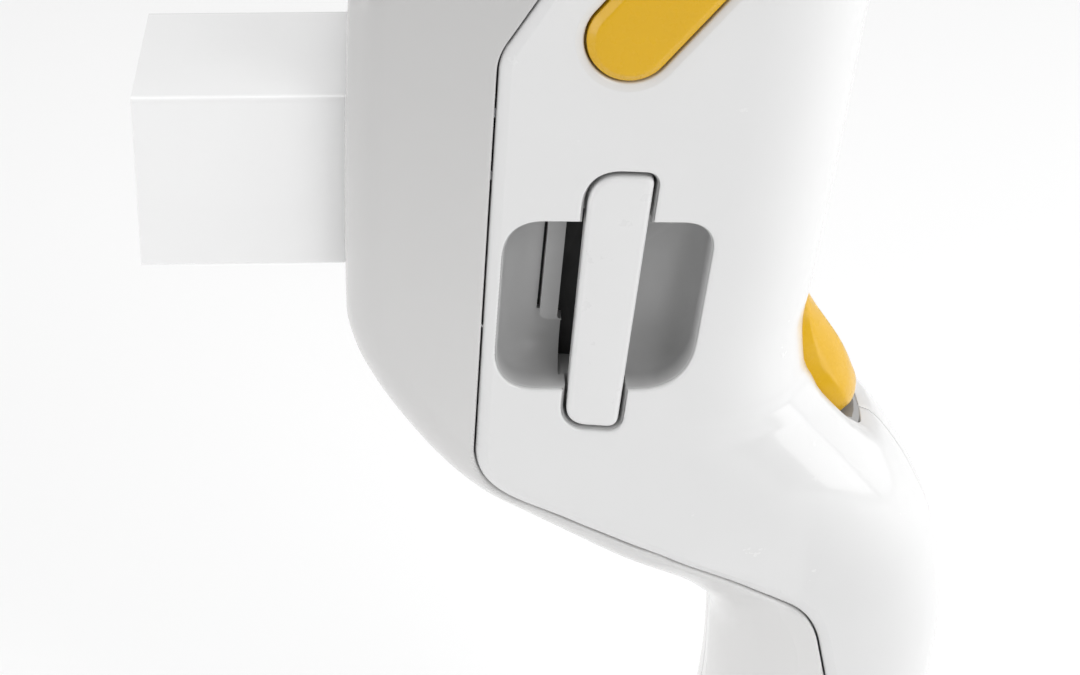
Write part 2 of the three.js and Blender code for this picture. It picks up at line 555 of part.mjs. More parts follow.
// The crowned trigger button, its pin, the pocket that it swings in, and the switch behind it.
function buildTrigger() {
  // Points of one half of the button as X, half width and Z: its crest, the ridge round its face, the
  // foot of its side wall, and its inner side.
  const crest = [
    [106.4, 0, -26.9], [110.7, 0, -33.9], [113.7, 0, -38.5], [115.5, 0, -42.6], [116.7, 0, -46.4],
    [116, 0, -48.7],
  ];
  const ridge = [
    [106.3, 2.2, -27.4], [107.9, 3, -31], [108.8, 4, -36], [109.9, 5, -39.5], [111.9, 5.8, -42.8],
    [113.5, 6.3, -45], [114.5, 5.6, -47.4],
  ];
  const foot = [
    [105.6, 2.8, -27.6], [106.2, 5, -33], [107, 7.8, -40.3], [109, 8.6, -45], [111.4, 8, -47.3],
    [113.4, 5.6, -48.7],
  ];
  const inner = [
    [103.7, 2.6, -28], [103.5, 3, -31], [104, 4.4, -36], [105.4, 5.6, -41], [107.6, 6.2, -45],
    [110.6, 4, -47.8],
  ];
  const points = [...crest, ...ridge, ...foot, ...inner].flatMap(([x, y, z]) => [[x, y, z], [x, -y, z]]);
  const pin = TRIGGER_PIN;
  const pinBore = rod("Y", pin.x, pin.z, pin.radius + GAP, -20, 20);
  place("trigger_button", hull(points).subtract(pinBore), MATERIALS.yellow);
  place("trigger_pin", rod("Y", pin.x, pin.z, pin.radius, -5.4, 5.4), MATERIALS.steel);

  const floor = [
    [101.4, -23.8], [100.9, -32], [100.6, -40], [101.2, -46.8], [104.8, -53.2], [111, -56], [140, -56],
    [140, -23.8],
  ];
  const cavity = [
    [102.7, -24], [102.3, -32], [102, -40], [102.6, -46.2], [105.8, -51.8], [111.4, -54.4], [141, -54.4],
    [141, -24],
  ];
  const cup = prism("X", grown(triggerRecess, 1.2), 99, 140).intersect(prism("Y", floor, -14, 14))
    .intersect(bodySolid(1.4))
    .subtract(prism("X", triggerRecess, 90, 141).intersect(prism("Y", cavity, -14, 14)))
    .subtract(rod("X", 0, PLUNGER_Z, 1.6, 90, 120))
    .subtract(rod("Y", pin.x, pin.z, pin.radius + 0.05, -5.8, 5.8));
  place("trigger_pocket", cup, MATERIALS.grey);

  const plungerBore = rod("X", 0, PLUNGER_Z, 1.5, 96.2, 110);
  const body = block(94.8, 100, -3.2, 3.2, PLUNGER_Z - 4.5, PLUNGER_Z + 4.5);
  place("trigger_switch", body.subtract(plungerBore), MATERIALS.black);
  place("switch_plunger", rod("X", 0, PLUNGER_Z, 1.2, 98.4, 105.1), MATERIALS.ceramic);
  const steps = 20;
  const turns = 2;
  const radius = 1.4;
  const coil = Array.from({ length: steps + 1 }, (_, i) => {
    const angle = (i / steps) * turns * 2 * Math.PI;
    const along = 102.5 + (1.2 * i) / steps;
    return new THREE.Vector3(along, radius * Math.cos(angle), -38 + radius * Math.sin(angle));
  });
  place("trigger_spring", sweep(coil, disc(0, 0, 0.18, 6), steps), MATERIALS.steel);
}

function buildElectronics() {
  place("circuit_board", block(50.5, 69, 3, 4.6, 21, 49), MATERIALS.board);
  place("trigger_transformer", block(53, 66, -9, 2.7, 24, 42), MATERIALS.black);
  place("storage_capacitor", rod("Z", 60, 11.2, 6, 24, 46, 16), MATERIALS.board);
}

// Hoses and leads from the lamp down the handle to the manifold behind the cable gland.
function buildServices() {
  place("hose_manifold", block(94, 110, -10.5, 10.5, -163, -158), MATERIALS.aluminium);
  const spine = [[98, -67], [107, -85], [111.5, -101], [109, -125], [103.5, -146], [101.5, -156.8]];
  const route = (start, y0, y1, dx) => {
    const rest = spine.map(([x, z], i) => [x + dx, THREE.MathUtils.lerp(y0, y1, i / 5), z]);
    return [...start, ...rest];
  };
  const points = (list) => list.map(([x, y, z]) => new THREE.Vector3(x, y, z));
  const supply = route([[89, -8, -45.6], [89.6, -8, -51]], -8, -6.5, 0);
  const drain = route([[89, 10, -45.6], [89.6, 10, -51]], 9.6, 6.5, 0);
  const lead = route([[82.2, 1.5, -51.8], [84, 1, -57]], 0.6, 0, -2);
  place("coolant_supply", sweep(points(supply), disc(0, 0, 3, 8), 24), MATERIALS.tube);
  place("coolant_return", sweep(points(drain), disc(0, 0, 3, 8), 24), MATERIALS.tube);
  place("lamp_lead", sweep(points(lead), disc(0, 0, 2.2, 8), 24), MATERIALS.lead);
}

buildShells();
buildHandleEnd();
buildLightGuide();
SIDES.forEach(([side, sign]) => buildRelease(side, sign));
buildReleaseSeat();
buildFilter();
buildDuct();
buildLamp();
buildTrigger();
buildElectronics();
buildServices();

export default handpiece;
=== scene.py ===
# Pulsed-light hair removal handpiece: smooth shells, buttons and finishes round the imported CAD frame.
# Sizes are millimetres in the part's own axes and become metres when a mesh is made.
import json
import math

import bmesh
import bpy
import numpy as np
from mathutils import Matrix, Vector
from mathutils.geometry import delaunay_2d_cdt


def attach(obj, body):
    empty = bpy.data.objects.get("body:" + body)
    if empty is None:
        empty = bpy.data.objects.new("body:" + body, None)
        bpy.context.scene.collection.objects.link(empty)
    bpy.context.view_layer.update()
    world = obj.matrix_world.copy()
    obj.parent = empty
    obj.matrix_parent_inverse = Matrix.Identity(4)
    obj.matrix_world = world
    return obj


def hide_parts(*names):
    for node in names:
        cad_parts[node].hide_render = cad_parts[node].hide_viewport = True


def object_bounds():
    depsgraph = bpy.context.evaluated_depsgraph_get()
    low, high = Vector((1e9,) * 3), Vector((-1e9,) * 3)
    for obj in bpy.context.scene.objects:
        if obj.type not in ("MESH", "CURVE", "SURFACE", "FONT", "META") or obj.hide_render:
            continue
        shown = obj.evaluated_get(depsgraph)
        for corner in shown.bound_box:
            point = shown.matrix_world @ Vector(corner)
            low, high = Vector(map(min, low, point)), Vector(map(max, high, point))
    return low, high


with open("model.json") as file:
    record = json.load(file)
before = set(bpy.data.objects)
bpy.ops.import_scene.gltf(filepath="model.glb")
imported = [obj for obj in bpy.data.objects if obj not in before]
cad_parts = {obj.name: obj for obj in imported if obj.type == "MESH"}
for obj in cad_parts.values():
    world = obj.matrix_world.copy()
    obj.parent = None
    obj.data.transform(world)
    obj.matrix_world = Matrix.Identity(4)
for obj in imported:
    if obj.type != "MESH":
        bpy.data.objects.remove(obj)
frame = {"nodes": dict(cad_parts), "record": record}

cad_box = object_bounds()
MM = 0.001

# ---- Driving dimensions ----
# They are the CAD's, apart from BAR_GROOVE, SKIN, NOSE_CLEAR, POCKET and TRIGGER_OPENING.
GAP = 0.3
HEAD_HALF = 27
HANDLE_HALF = 17.5
TOP_Z = 60
BOTTOM_Z = -178
TOP_ROUND = 10
BOTTOM_ROUND = 4
NOSE_X = 32.3
REAR_ROUND = 20
REAR_POWER = 2.4
END_CAP_Z = -171
NECK_X, NECK_Z, NECK_SLOPE, NECK_DEPTH = 107, -50, 0.4, 34
GUIDE_HALF_WIDTH, GUIDE_HALF_HEIGHT = 17.5, 14.5
FILTER_CENTRE = np.array([73.3, -16.9])
FILTER_TILT = math.radians(5)
BAR_HALF_HEIGHT, BAR_FRONT, BAR_BACK, BAR_GROOVE = 22.4, -27.2, -22.6, 0.5
POCKET_FLOOR, GROOVE_FLOOR = -16, -21
BUTTON_RADIUS, BUTTON_FROM, BUTTON_TO, BUTTON_PROUD = 6.56, (76.3, 27.1), (89.5, 42.1), 1
GLAND_X, GLAND_RADIUS, GLAND_BORE, GLAND_TIP = 97, 12, 8.5, -191
GLAND_STEM, GLAND_INNER_END = GLAND_RADIUS - 3, -168  # the part inside the end cap
HOUSING_SCREWS = [(44.5, 32), (46.8, -33.5), (101, -93), (93.4, -152)]
COVER_SCREWS = [(107, 46)]
SKIN = 2.1  # thickness of the visible shells
NOSE_CLEAR = 0.6  # gap between the light guide and the nose opening
SCREW_HOLE = 3.2  # radius
BUTTON_CLEAR = 0.4  # gap between a release button and its hole
LINER_LIP = 0.3  # wall of the pocket liner that shows between the cover and the pocket
LINER_CLEAR = 0.05  # gap between that wall and the cover
THINNEST = 0.15  # what is left of a shell under its deepest edge
OUTLINE_STEP, MESH_STEP = 0.7, 1.3  # furthest apart that points of an outline and of a sheet lie

FRONT_PROFILE = [
    (-178, 79), (-140, 87), (-110, 91.4), (-98, 92.6), (-88, 92.8), (-82, 91.8), (-76, 87.8), (-67, 75),
    (-58.3, 60.5), (-54.3, 54), (-48.8, 48), (-39.5, 40.8), (-31.5, 36), (-26, 33.6), (-20, NOSE_X),
    (31, NOSE_X + 1.6), (36, 35), (60, 54.5),
]
REAR_PROFILE = [
    (-178, 115), (-140, 125), (-106, 131.2), (-96, 132.6), (-88, 133.1), (-78, 132.1), (-70, 130),
    (-61, 125.9), (-53, 120.6), (-48.4, 116.8), (-45, 113.8), (-41, 110.2), (-36.5, 107.5), (-30, 106.8),
    (-22, 108.1), (-2.7, 111), (22.5, 114.4), (60, 119.4),
]
FRONT_ROUNDING = [(-178, 14), (-92, 14), (-76, 9.5), (-58, 8), (-24, 6), (60, 6)]
SEAM = [
    (84.5, 66, 0), (56.7, 24.6, 9), (52, -50.4, 11), (82, -64.2, 25), (109.4, -82.4, 12), (112.3, -97, 12),
    (106, -140, 30), (96, -184, 0),
]
BAR = [
    (-4.7, -BAR_HALF_HEIGHT, 3.6), (3.7, -BAR_HALF_HEIGHT, 1.9), (5.3, BAR_HALF_HEIGHT - 0.6, 1.4),
    (-4.7, BAR_HALF_HEIGHT - 0.9, 5.5),
]
POCKET = [(-16.35, -16.5, 6.5), (14, -14.6, 9.5), (15.5, 14.5, 4.5), (-16.85, 12.4, 6.3)]
# The opening round the trigger in Y and Z: its right half from the top down, with corner radii.
TRIGGER_OPENING = [(3.4, -26.3, 2.5), (6.2, -32.5, 8), (9.5, -45.2, 4.5), (7.6, -50.3, 4.5)]

# ---- Camera ----
CAMERA_TARGET = Vector((63.47, 0, -37.33)) * MM
CAMERA_DISTANCE = 533.3 * MM
CAMERA_TURN, CAMERA_RISE = math.radians(-1.5), math.radians(28)
CAMERA_LENS, CAMERA_SENSOR = 106.67, 36


def make_camera():
    data = bpy.data.cameras.new("camera")
    data.lens, data.sensor_width = CAMERA_LENS, CAMERA_SENSOR
    data.clip_start, data.clip_end = 0.01, 20
    camera = bpy.data.objects.new("camera", data)
    back = Vector((
        math.sin(CAMERA_TURN) * math.cos(CAMERA_RISE),
        -math.cos(CAMERA_TURN) * math.cos(CAMERA_RISE),
        math.sin(CAMERA_RISE),
    ))
    camera.location = CAMERA_TARGET + back * CAMERA_DISTANCE
    camera.rotation_mode = "QUATERNION"
    camera.rotation_quaternion = (-back).to_track_quat("-Z", "Y")
    bpy.context.collection.objects.link(camera)
    bpy.context.scene.camera = camera


# ---- Curves and outlines ----
def smooth_through(pairs):
    """A smooth monotone curve through pairs of position and value, for arrays."""
    t, v = (np.array(column, float) for column in zip(*pairs))
    slopes = np.diff(v) / np.diff(t)
    before = np.concatenate([slopes[:1], slopes])
    after = np.concatenate([slopes, slopes[-1:]])
    total = np.where(before + after == 0, 1, before + after)
    tangents = np.where(before * after > 0, 2 * before * after / total, 0)

    def curve(at):
        at = np.asarray(at, float)
        i = np.clip(np.searchsorted(t, at, side="right") - 1, 0, len(t) - 2)
        span = t[i + 1] - t[i]
        u = np.clip((at - t[i]) / span, 0, 1)
        rise, start, end = v[i + 1] - v[i], tangents[i] * span, tangents[i + 1] * span
        return v[i] + u * (start + u * (3 * rise - 2 * start - end + u * (start + end - 2 * rise)))

    return curve


def rounded(corners, steps=14, closed=True):
    """An outline whose corners, each (a, b, radius), are rounded off."""
    points = []
    for i, (a, b, radius) in enumerate(corners):
        corner = np.array([a, b], float)
        if not radius:
            points.append(corner)
            continue
        before = np.array(corners[i - 1][:2]) - corner
        after = np.array(corners[(i + 1) % len(corners)][:2]) - corner
        before, after = before / np.linalg.norm(before), after / np.linalg.norm(after)
        reach = radius / math.tan(math.acos(before @ after) / 2)
        start, end = corner + before * reach, corner + after * reach
        for u in np.linspace(0, 1, steps + 1):
            points.append((1 - u) ** 2 * start + 2 * u * (1 - u) * corner + u * u * end)
    return spaced(np.array(points), OUTLINE_STEP, closed)


def spaced(points, step, closed):
    """The outline with points added along its straight stretches, no further apart than step."""
    if closed:
        points = np.vstack([points, points[:1]])
    made = []
    for start, end in zip(points[:-1], points[1:]):
        count = max(1, math.ceil(np.linalg.norm(end - start) / step))
        made += [start + (end - start) * i / count for i in range(count)]
    if not closed:
        made.append(points[-1])
    return np.array(made)


def obround(start, end, radius, steps=28):
    """A slot with round ends between two centres."""
    heading = math.atan2(end[1] - start[1], end[0] - start[0])
    points = []
    for centre, first in ((end, heading - math.pi / 2), (start, heading + math.pi / 2)):
        for angle in np.linspace(first, first + math.pi, steps + 1):
            points.append((centre[0] + radius * math.cos(angle), centre[1] + radius * math.sin(angle)))
    return spaced(np.array(points), OUTLINE_STEP, True)


def disc(a, b, radius, steps=40):
    angles = np.arange(steps) / steps * 2 * math.pi
    return np.stack([a + radius * np.cos(angles), b + radius * np.sin(angles)], axis=-1)


def grown(outline, distance, closed=True):
    """The outline moved outwards by a distance, or to its right where it is open."""
    forward = np.roll(outline, -1, axis=0) - outline
    if not closed:
        forward[-1] = forward[-2]
    forward /= np.linalg.norm(forward, axis=1)[:, None]
    back = np.roll(forward, 1, axis=0)
    if not closed:
        back[0] = forward[0]
    side = 1
    if closed:
        after = np.roll(outline, -1, axis=0)
        side = np.sign(np.sum(outline[:, 0] * after[:, 1] - after[:, 0] * outline[:, 1]))
    middle = forward + back
    middle /= np.linalg.norm(middle, axis=1)[:, None]
    reach = distance * side / np.maximum(0.3, np.sum(middle * forward, axis=1))
    return outline + np.stack([middle[:, 1], -middle[:, 0]], axis=-1) * reach[:, None]


def distance_to(points, outline, closed=True):
    """The distance of each point from an outline."""
    ends = np.roll(outline, -1, axis=0) if closed else outline[1:]
    starts = outline if closed else outline[:-1]
    run = ends - starts
    length = np.maximum(1e-12, np.sum(run * run, axis=1))
    nearest = np.full(len(points), np.inf)
    batch = 4000  # points at a time, to spare memory
    for first in range(0, len(points), batch):
        some = points[first:first + batch, None, :] - starts[None]
        share = np.clip(np.sum(some * run, axis=2) / length, 0, 1)
        gap = some - share[:, :, None] * run
        nearest[first:first + batch] = np.sqrt(np.min(np.sum(gap * gap, axis=2), axis=1))
    return nearest


def inside(points, outline):
    """Which points lie inside a closed outline."""
    x, y = points[:, 0], points[:, 1]
    result = np.zeros(len(points), bool)
    for (x0, y0), (x1, y1) in zip(outline, np.roll(outline, -1, axis=0)):
        if y0 != y1:
            crosses = (y0 > y) != (y1 > y)
            result ^= crosses & (x < (x1 - x0) * (y - y0) / (y1 - y0) + x0)
    return result


def bench_to_body(outline):
    """Points of the tilted filter bench, (along, up), as (x, z) of the body."""
    cos, sin = math.cos(FILTER_TILT), math.sin(FILTER_TILT)
    a, b = outline[:, 0], outline[:, 1]
    return np.stack([FILTER_CENTRE[0] + a * cos + b * sin, FILTER_CENTRE[1] - a * sin + b * cos], axis=-1)


def reach_along(outline, angles):
    """How far a star-shaped outline lies from the origin in each direction."""
    at = np.unwrap(np.arctan2(outline[:, 1], outline[:, 0]))
    if at[-1] < at[0]:
        at, outline = at[::-1], outline[::-1]
    far = np.linalg.norm(outline, axis=1)
    return np.interp(angles, at, far, period=2 * math.pi)


def joined(first, second, steps=900):
    """The outline round two star-shaped outlines that cross, centred on the origin."""
    angles = np.arange(steps) / steps * 2 * math.pi
    far = np.maximum(reach_along(first, angles), reach_along(second, angles))
    return np.stack([far * np.cos(angles), far * np.sin(angles)], axis=-1)


# ---- The body's outer form ----
front_x = smooth_through(FRONT_PROFILE)
rear_x = smooth_through(REAR_PROFILE)
front_rounding = smooth_through(FRONT_ROUNDING)


def stretch(profile, z):
    return np.hypot(1, profile(z + 0.5) - profile(z - 0.5))


def half_thickness(x, z):
    neck_top = NECK_Z - NECK_SLOPE * np.maximum(0, NECK_X - x)
    share = np.clip((neck_top - z) / NECK_DEPTH, 0, 1)
    share = share * share * (3 - 2 * share)
    return HEAD_HALF + (HANDLE_HALF - HEAD_HALF) * share


# One side of the body is a sheet: "across" runs from the back's centre line round the side to the
# front's, in four bands, and "up" runs from the end cap to the top and over it to the centre line.
BANDS = {"back": 32, "side": 56, "corner": 9, "face": 21}
BAND_ENDS = np.cumsum(list(BANDS.values()))
ACROSS = float(BAND_ENDS[-1])
TOP_START = TOP_Z - TOP_ROUND
TOP_TURNED = TOP_START + TOP_ROUND * math.pi / 2
TOP_END = TOP_TURNED + 17


def level(up):
    """Height, how far the section draws in, and how far over the top a place on the sheet is."""
    turn = np.clip((up - TOP_START) / TOP_ROUND, 0, math.pi / 2)
    z = np.where(up < TOP_START, up, TOP_START + TOP_ROUND * np.sin(turn))
    over = np.clip((up - TOP_TURNED) / (TOP_END - TOP_TURNED), 0, 1)
    return z, TOP_ROUND * (1 - np.cos(turn)), over


def section(z, shift):
    front_stretch, rear_stretch = stretch(front_x, z), stretch(rear_x, z)
    edge = front_rounding(z)
    return {
        "edge": edge,
        "front": front_x(z) + shift * front_stretch,
        "rear": rear_x(z) - shift * rear_stretch,
        "front_reach": edge * front_stretch,
        "rear_reach": REAR_ROUND * rear_stretch,
    }


def sheet_point(across, up):
    """The place in space of a place on the sheet, on the body's right side."""
    z, shift, over = level(up)
    cut = section(z, shift)
    back_end, side_end, corner_end, _ = BAND_ENDS
    flat_from, flat_to = cut["front"] + cut["front_reach"], cut["rear"] - cut["rear_reach"]
    back_turn = np.clip(across / back_end, 0, 1) * math.pi / 2
    side_share = np.clip((across - back_end) / BANDS["side"], 0, 1)
    corner_turn = (1 - np.clip((across - side_end) / BANDS["corner"], 0, 1)) * math.pi / 2
    face_share = np.clip((across - corner_end) / BANDS["face"], 0, 1)
    x = np.where(
        across < back_end,
        cut["rear"] - cut["rear_reach"] * (1 - np.cos(back_turn)),
        np.where(
            across < side_end,
            flat_to + (flat_from - flat_to) * side_share,
            cut["front"] + cut["front_reach"] * (1 - np.cos(corner_turn)),
        ),
    )
    full = half_thickness(x, z) - shift
    round_back = (1 - np.cos(back_turn) ** REAR_POWER) ** (1 / REAR_POWER)
    y = np.where(across < back_end, full * round_back, full - cut["edge"] * (1 - np.sin(corner_turn)))
    y = y * (1 - face_share) * (1 - over)
    return np.stack([x, np.maximum(y, GAP / 2), z], axis=-1)


def up_of(z):
    """Where on the sheet a height below the top face lies."""
    turn = np.arcsin(np.clip((z - TOP_START) / TOP_ROUND, 0, 1))
    return np.where(z < TOP_START, z, TOP_START + TOP_ROUND * turn)


def across_of_x(x, up):
    """Where across the sheet a side view's X lies."""
    z, shift, _ = level(up)
    cut = section(z, shift)
    back_end, side_end, _, _ = BAND_ENDS
    flat_from, flat_to = cut["front"] + cut["front_reach"], cut["rear"] - cut["rear_reach"]
    back_turn = np.arccos(np.clip(1 - (cut["rear"] - x) / cut["rear_reach"], 0, 1))
    corner_turn = np.arccos(np.clip(1 - (x - cut["front"]) / cut["front_reach"], 0, 1))
    in_side = back_end + BANDS["side"] * (x - flat_to) / (flat_from - flat_to)
    in_corner = side_end + BANDS["corner"] * (1 - corner_turn / (math.pi / 2))
    in_back = back_end * back_turn / (math.pi / 2)
    return np.where(x > flat_to, in_back, np.where(x > flat_from, in_side, in_corner))


def across_of_y(y, z, at_back):
    """Where across the sheet a half width lies, on the rounded back or on the flat front face."""
    cut = section(z, 0)
    if at_back:
        full = half_thickness(cut["rear"] - 1, z)
        turn = np.arccos((1 - np.clip(y / full, 0, 1) ** REAR_POWER) ** (1 / REAR_POWER))
        return BAND_ENDS[0] * turn / (math.pi / 2)
    full = half_thickness(cut["front"], z) - cut["edge"]
    return BAND_ENDS[2] + BANDS["face"] * (1 - y / full)


# ---- Meshes ----
def new_piece(name, vertices, faces, smooth_angle=math.radians(40)):
    """An object from millimetre vertices, with its faces turned outwards and edges sharp past an angle."""
    mesh = bpy.data.meshes.new(name)
    mesh.from_pydata([tuple(v) for v in np.asarray(vertices) * MM], [], [tuple(map(int, f)) for f in faces])
    made = bmesh.new()
    made.from_mesh(mesh)
    bmesh.ops.remove_doubles(made, verts=made.verts, dist=1e-5)
    bmesh.ops.recalc_face_normals(made, faces=made.faces)
    made.to_mesh(mesh)
    made.free()
    mesh.polygons.foreach_set("use_smooth", [True] * len(mesh.polygons))
    mesh.set_sharp_from_angle(angle=smooth_angle)
    piece = bpy.data.objects.new(name, mesh)
    bpy.context.collection.objects.link(piece)
    return piece


def even_normals(piece):
    """Shading that follows the larger faces, so that slivers near an edge don't show."""
    modifier = piece.modifiers.new("even_normals", "WEIGHTED_NORMAL")
    modifier.keep_sharp = True


def loft(rings):
    """Vertices and faces of a closed solid through rings of equal length, with both ends filled."""
    count = len(rings[0])
    vertices = list(np.vstack(rings))
    faces = []
    for k in range(len(rings) - 1):
        for i in range(count):
            j = (i + 1) % count
            faces.append((k * count + i, k * count + j, (k + 1) * count + j, (k + 1) * count + i))
    for start, ring in ((0, rings[0]), ((len(rings) - 1) * count, rings[-1])):
        centre = len(vertices)
        vertices.append(np.mean(ring, axis=0))
        faces += [(centre, start + i, start + (i + 1) % count) for i in range(count)]
    return np.array(vertices), faces


def ring_torus(rings):
    """Vertices and faces of a closed solid whose last ring meets its first."""
    count = len(rings[0])
    faces = []
    for k in range(len(rings)):
        low, high = k * count, ((k + 1) % len(rings)) * count
        faces += [(low + i, low + (i + 1) % count, high + (i + 1) % count, high + i) for i in range(count)]
    return np.vstack(rings), faces


def at_y(outline, y):
    """An (x, z) outline set at a Y, which may vary round it."""
    return np.stack([outline[:, 0], np.broadcast_to(y, len(outline)), outline[:, 1]], axis=-1)


def cut_away(piece, tools, operation="DIFFERENCE"):
    """Cuts or joins tool objects into a piece and drops them."""
    for tool in tools:
        modifier = piece.modifiers.new("cut", "BOOLEAN")
        modifier.object, modifier.operation, modifier.solver = tool, operation, "EXACT"
        graph = bpy.context.evaluated_depsgraph_get()
        result = bpy.data.meshes.new_from_object(piece.evaluated_get(graph))
        piece.modifiers.clear()
        piece.data = result
        bpy.data.objects.remove(tool)
    piece.data.polygons.foreach_set("use_smooth", [True] * len(piece.data.polygons))
    piece.data.set_sharp_from_angle(angle=math.radians(40))


def falloff(distance, width, depth, bend):
    """How deep an edge lies at a distance from it: a round edge, or a plain slope."""
    left = 1 - np.clip(distance / width, 0, 1)
    return depth * (left if bend == "slope" else 1 - np.sqrt(1 - left * left))


# ---- Shells ----
seam_line = rounded(SEAM, steps=20, closed=False)
pocket_outline = rounded(POCKET)
bar_outline = rounded(BAR)
groove_outline = grown(bar_outline, BAR_GROOVE)
button_outline = obround(BUTTON_FROM, BUTTON_TO, BUTTON_RADIUS)
trigger_opening = rounded([(-y, z, r) for y, z, r in TRIGGER_OPENING] + TRIGGER_OPENING[::-1])


def pocket_shape(clear):
    """The outline round the pocket and the groove together, moved outwards."""
    return joined(grown(pocket_outline, clear), grown(groove_outline, clear))


pocket_hole = bench_to_body(pocket_shape(LINER_LIP + LINER_CLEAR))


def seam_on_sheet(offset):
    """The seam moved towards the cover by an offset, as places on the sheet from bottom to top."""
    top_clear, top_step = 0.05, 1.2
    line = grown(seam_line, -offset, closed=False)[::-1]
    keep = (line[:, 1] > END_CAP_Z) & (line[:, 1] < TOP_Z - top_clear)
    line = line[keep]
    last_x = line[-1, 0]
    first = np.array([[np.interp(END_CAP_Z, line[:2, 1], line[:2, 0]), END_CAP_Z]])
    line = np.vstack([first, line])
    up = up_of(line[:, 1])
    over = np.arange(TOP_TURNED, TOP_END, top_step)
    up = np.concatenate([up, over, [TOP_END]])
    x = np.concatenate([line[:, 0], np.full(len(over) + 1, last_x)])
    return np.stack([across_of_x(x, up), up], axis=-1)


def straight(across0, up0, across1, up1):
    return spaced(np.array([[across0, up0], [across1, up1]], float), MESH_STEP, False)


def triangulate(boundary, holes, extra):
    """Triangles of a region of the sheet, with its holes, its guide lines and a grid of points inside."""
    lines = [boundary] + holes
    grid_clear, line_clear = MESH_STEP * 0.45, 0.05  # how near a line a point may lie
    low, high = boundary.min(axis=0), boundary.max(axis=0)
    grid_a, grid_u = np.meshgrid(*(np.arange(low[i], high[i], MESH_STEP) for i in range(2)))
    grid = np.stack([grid_a.ravel(), grid_u.ravel()], axis=-1)
    grid = grid[inside(grid, boundary)]
    for line in lines:
        grid = grid[distance_to(grid, line) > grid_clear]
    for hole in holes:
        grid = grid[~inside(grid, hole)]
    if extra:
        near = np.vstack(extra)
        near = near[inside(near, boundary)]
        for line in lines:
            near = near[distance_to(near, line) > line_clear]
        for line in extra:
            grid = grid[distance_to(grid, line, closed=False) > grid_clear]
        grid = np.vstack([grid, near])
    points, edges = [], []
    for line in lines:
        start = len(points)
        points += [tuple(p) for p in line]
        edges += [(start + i, start + (i + 1) % len(line)) for i in range(len(line))]
    points += [tuple(p) for p in grid]
    found, _, faces, _, _, _ = delaunay_2d_cdt([Vector(p) for p in points], edges, [], 0, 1e-5)
    found, faces = np.array([tuple(v) for v in found]), np.array([tuple(f) for f in faces])
    middle = found[faces].mean(axis=1)
    keep = inside(middle, boundary)
    for hole in holes:
        keep &= ~inside(middle, hole)
    return found, faces[keep]


BODY_MIDDLE, JUDGED_BELOW = np.array([75, 0, 0]), 40  # which way is outwards, judged below this height
BACK_FROM, FRONT_TO = 95, 45  # X past which an edge seen from the back or the front counts
DISH_TOP, DISH_RUN, DISH_SHALLOW = -27, 10, 0.25  # a dish deepens over this run below its top


def shell(name, sign, found, faces, edges):
    """A closed shell on one side, with its edges worn down.

    Each edge has a view, an outline, whether it closes, a width, a depth and a bend.
    """
    across, up = found[:, 0], found[:, 1]
    place = sheet_point(across, up)
    step = 0.05
    along = sheet_point(np.minimum(across + step, ACROSS), up)
    along -= sheet_point(np.maximum(across - step, 0), up)
    rise = sheet_point(across, up + step) - sheet_point(across, up - step)
    normal = np.cross(along, rise)
    normal /= np.maximum(1e-9, np.linalg.norm(normal, axis=1))[:, None]
    outward = np.sum((place - BODY_MIDDLE) * normal, axis=1)
    if np.mean(outward[up < JUDGED_BELOW]) < 0:
        normal = -normal
    drop = np.zeros(len(place))
    for view, outline, closed, width, depth, bend in edges:
        seen = place[:, [0, 2]] if view == "side" else place[:, [1, 2]]
        away = distance_to(seen, outline, closed)
        if view == "back":
            away = np.where(place[:, 0] > BACK_FROM, away, width)
        if view == "front":
            away = np.where(place[:, 0] < FRONT_TO, away, width)
        if bend == "dish":
            depth = depth * np.clip((DISH_TOP - place[:, 2]) / DISH_RUN, DISH_SHALLOW, 1)
        drop += falloff(away, width, depth, bend)
    drop = np.minimum(drop, SKIN - THINNEST)
    outer, inner = place - normal * drop[:, None], place - normal * SKIN
    inner[:, 1] = np.maximum(inner[:, 1], GAP / 2)
    count = len(outer)
    sides = np.sort(np.concatenate([faces[:, [0, 1]], faces[:, [1, 2]], faces[:, [2, 0]]]), axis=1)
    pairs, times = np.unique(sides, axis=0, return_counts=True)
    walls = [(a, b, b + count, a + count) for a, b in pairs[times == 1]]
    vertices = np.vstack([outer, inner])
    vertices[:, 1] *= sign
    return new_piece(name, vertices, list(faces) + list(faces + count) + walls)


def on_sheet(outline):
    up = up_of(outline[:, 1])
    return np.stack([across_of_x(outline[:, 0], up), up], axis=-1)


def places_on(line, at_back):
    """A (y, z) line on the back or the front, as places on the sheet."""
    return np.stack([across_of_y(line[:, 0], line[:, 1], at_back), line[:, 1]], axis=-1)


def half_recess(outline):
    """The half of a (y, z) outline on the back's right side, from bottom to top, as places on the sheet."""
    turned = outline[np.argsort(outline[:, 1])]
    half = turned[turned[:, 0] > GAP / 2]
    low, high = outline[:, 1].min(), outline[:, 1].max()
    half = np.vstack([[GAP / 2, low], half, [GAP / 2, high]])
    order = np.argsort(np.arctan2(half[:, 0], -(half[:, 1] - (low + high) / 2)))
    return places_on(half[order], True)


def nose_half(clear):
    """The nose opening's edge on the right half of the front face, from bottom to top."""
    half_width, half_height = GUIDE_HALF_WIDTH + clear, GUIDE_HALF_HEIGHT + clear
    corners = [
        (0, -half_height, 0), (half_width, -half_height, 1), (half_width, half_height, 1),
        (0, half_height, 0),
    ]
    outline = rounded(corners, closed=False)
    outline[:, 0] = np.maximum(outline[:, 0], GAP / 2)
    return outline


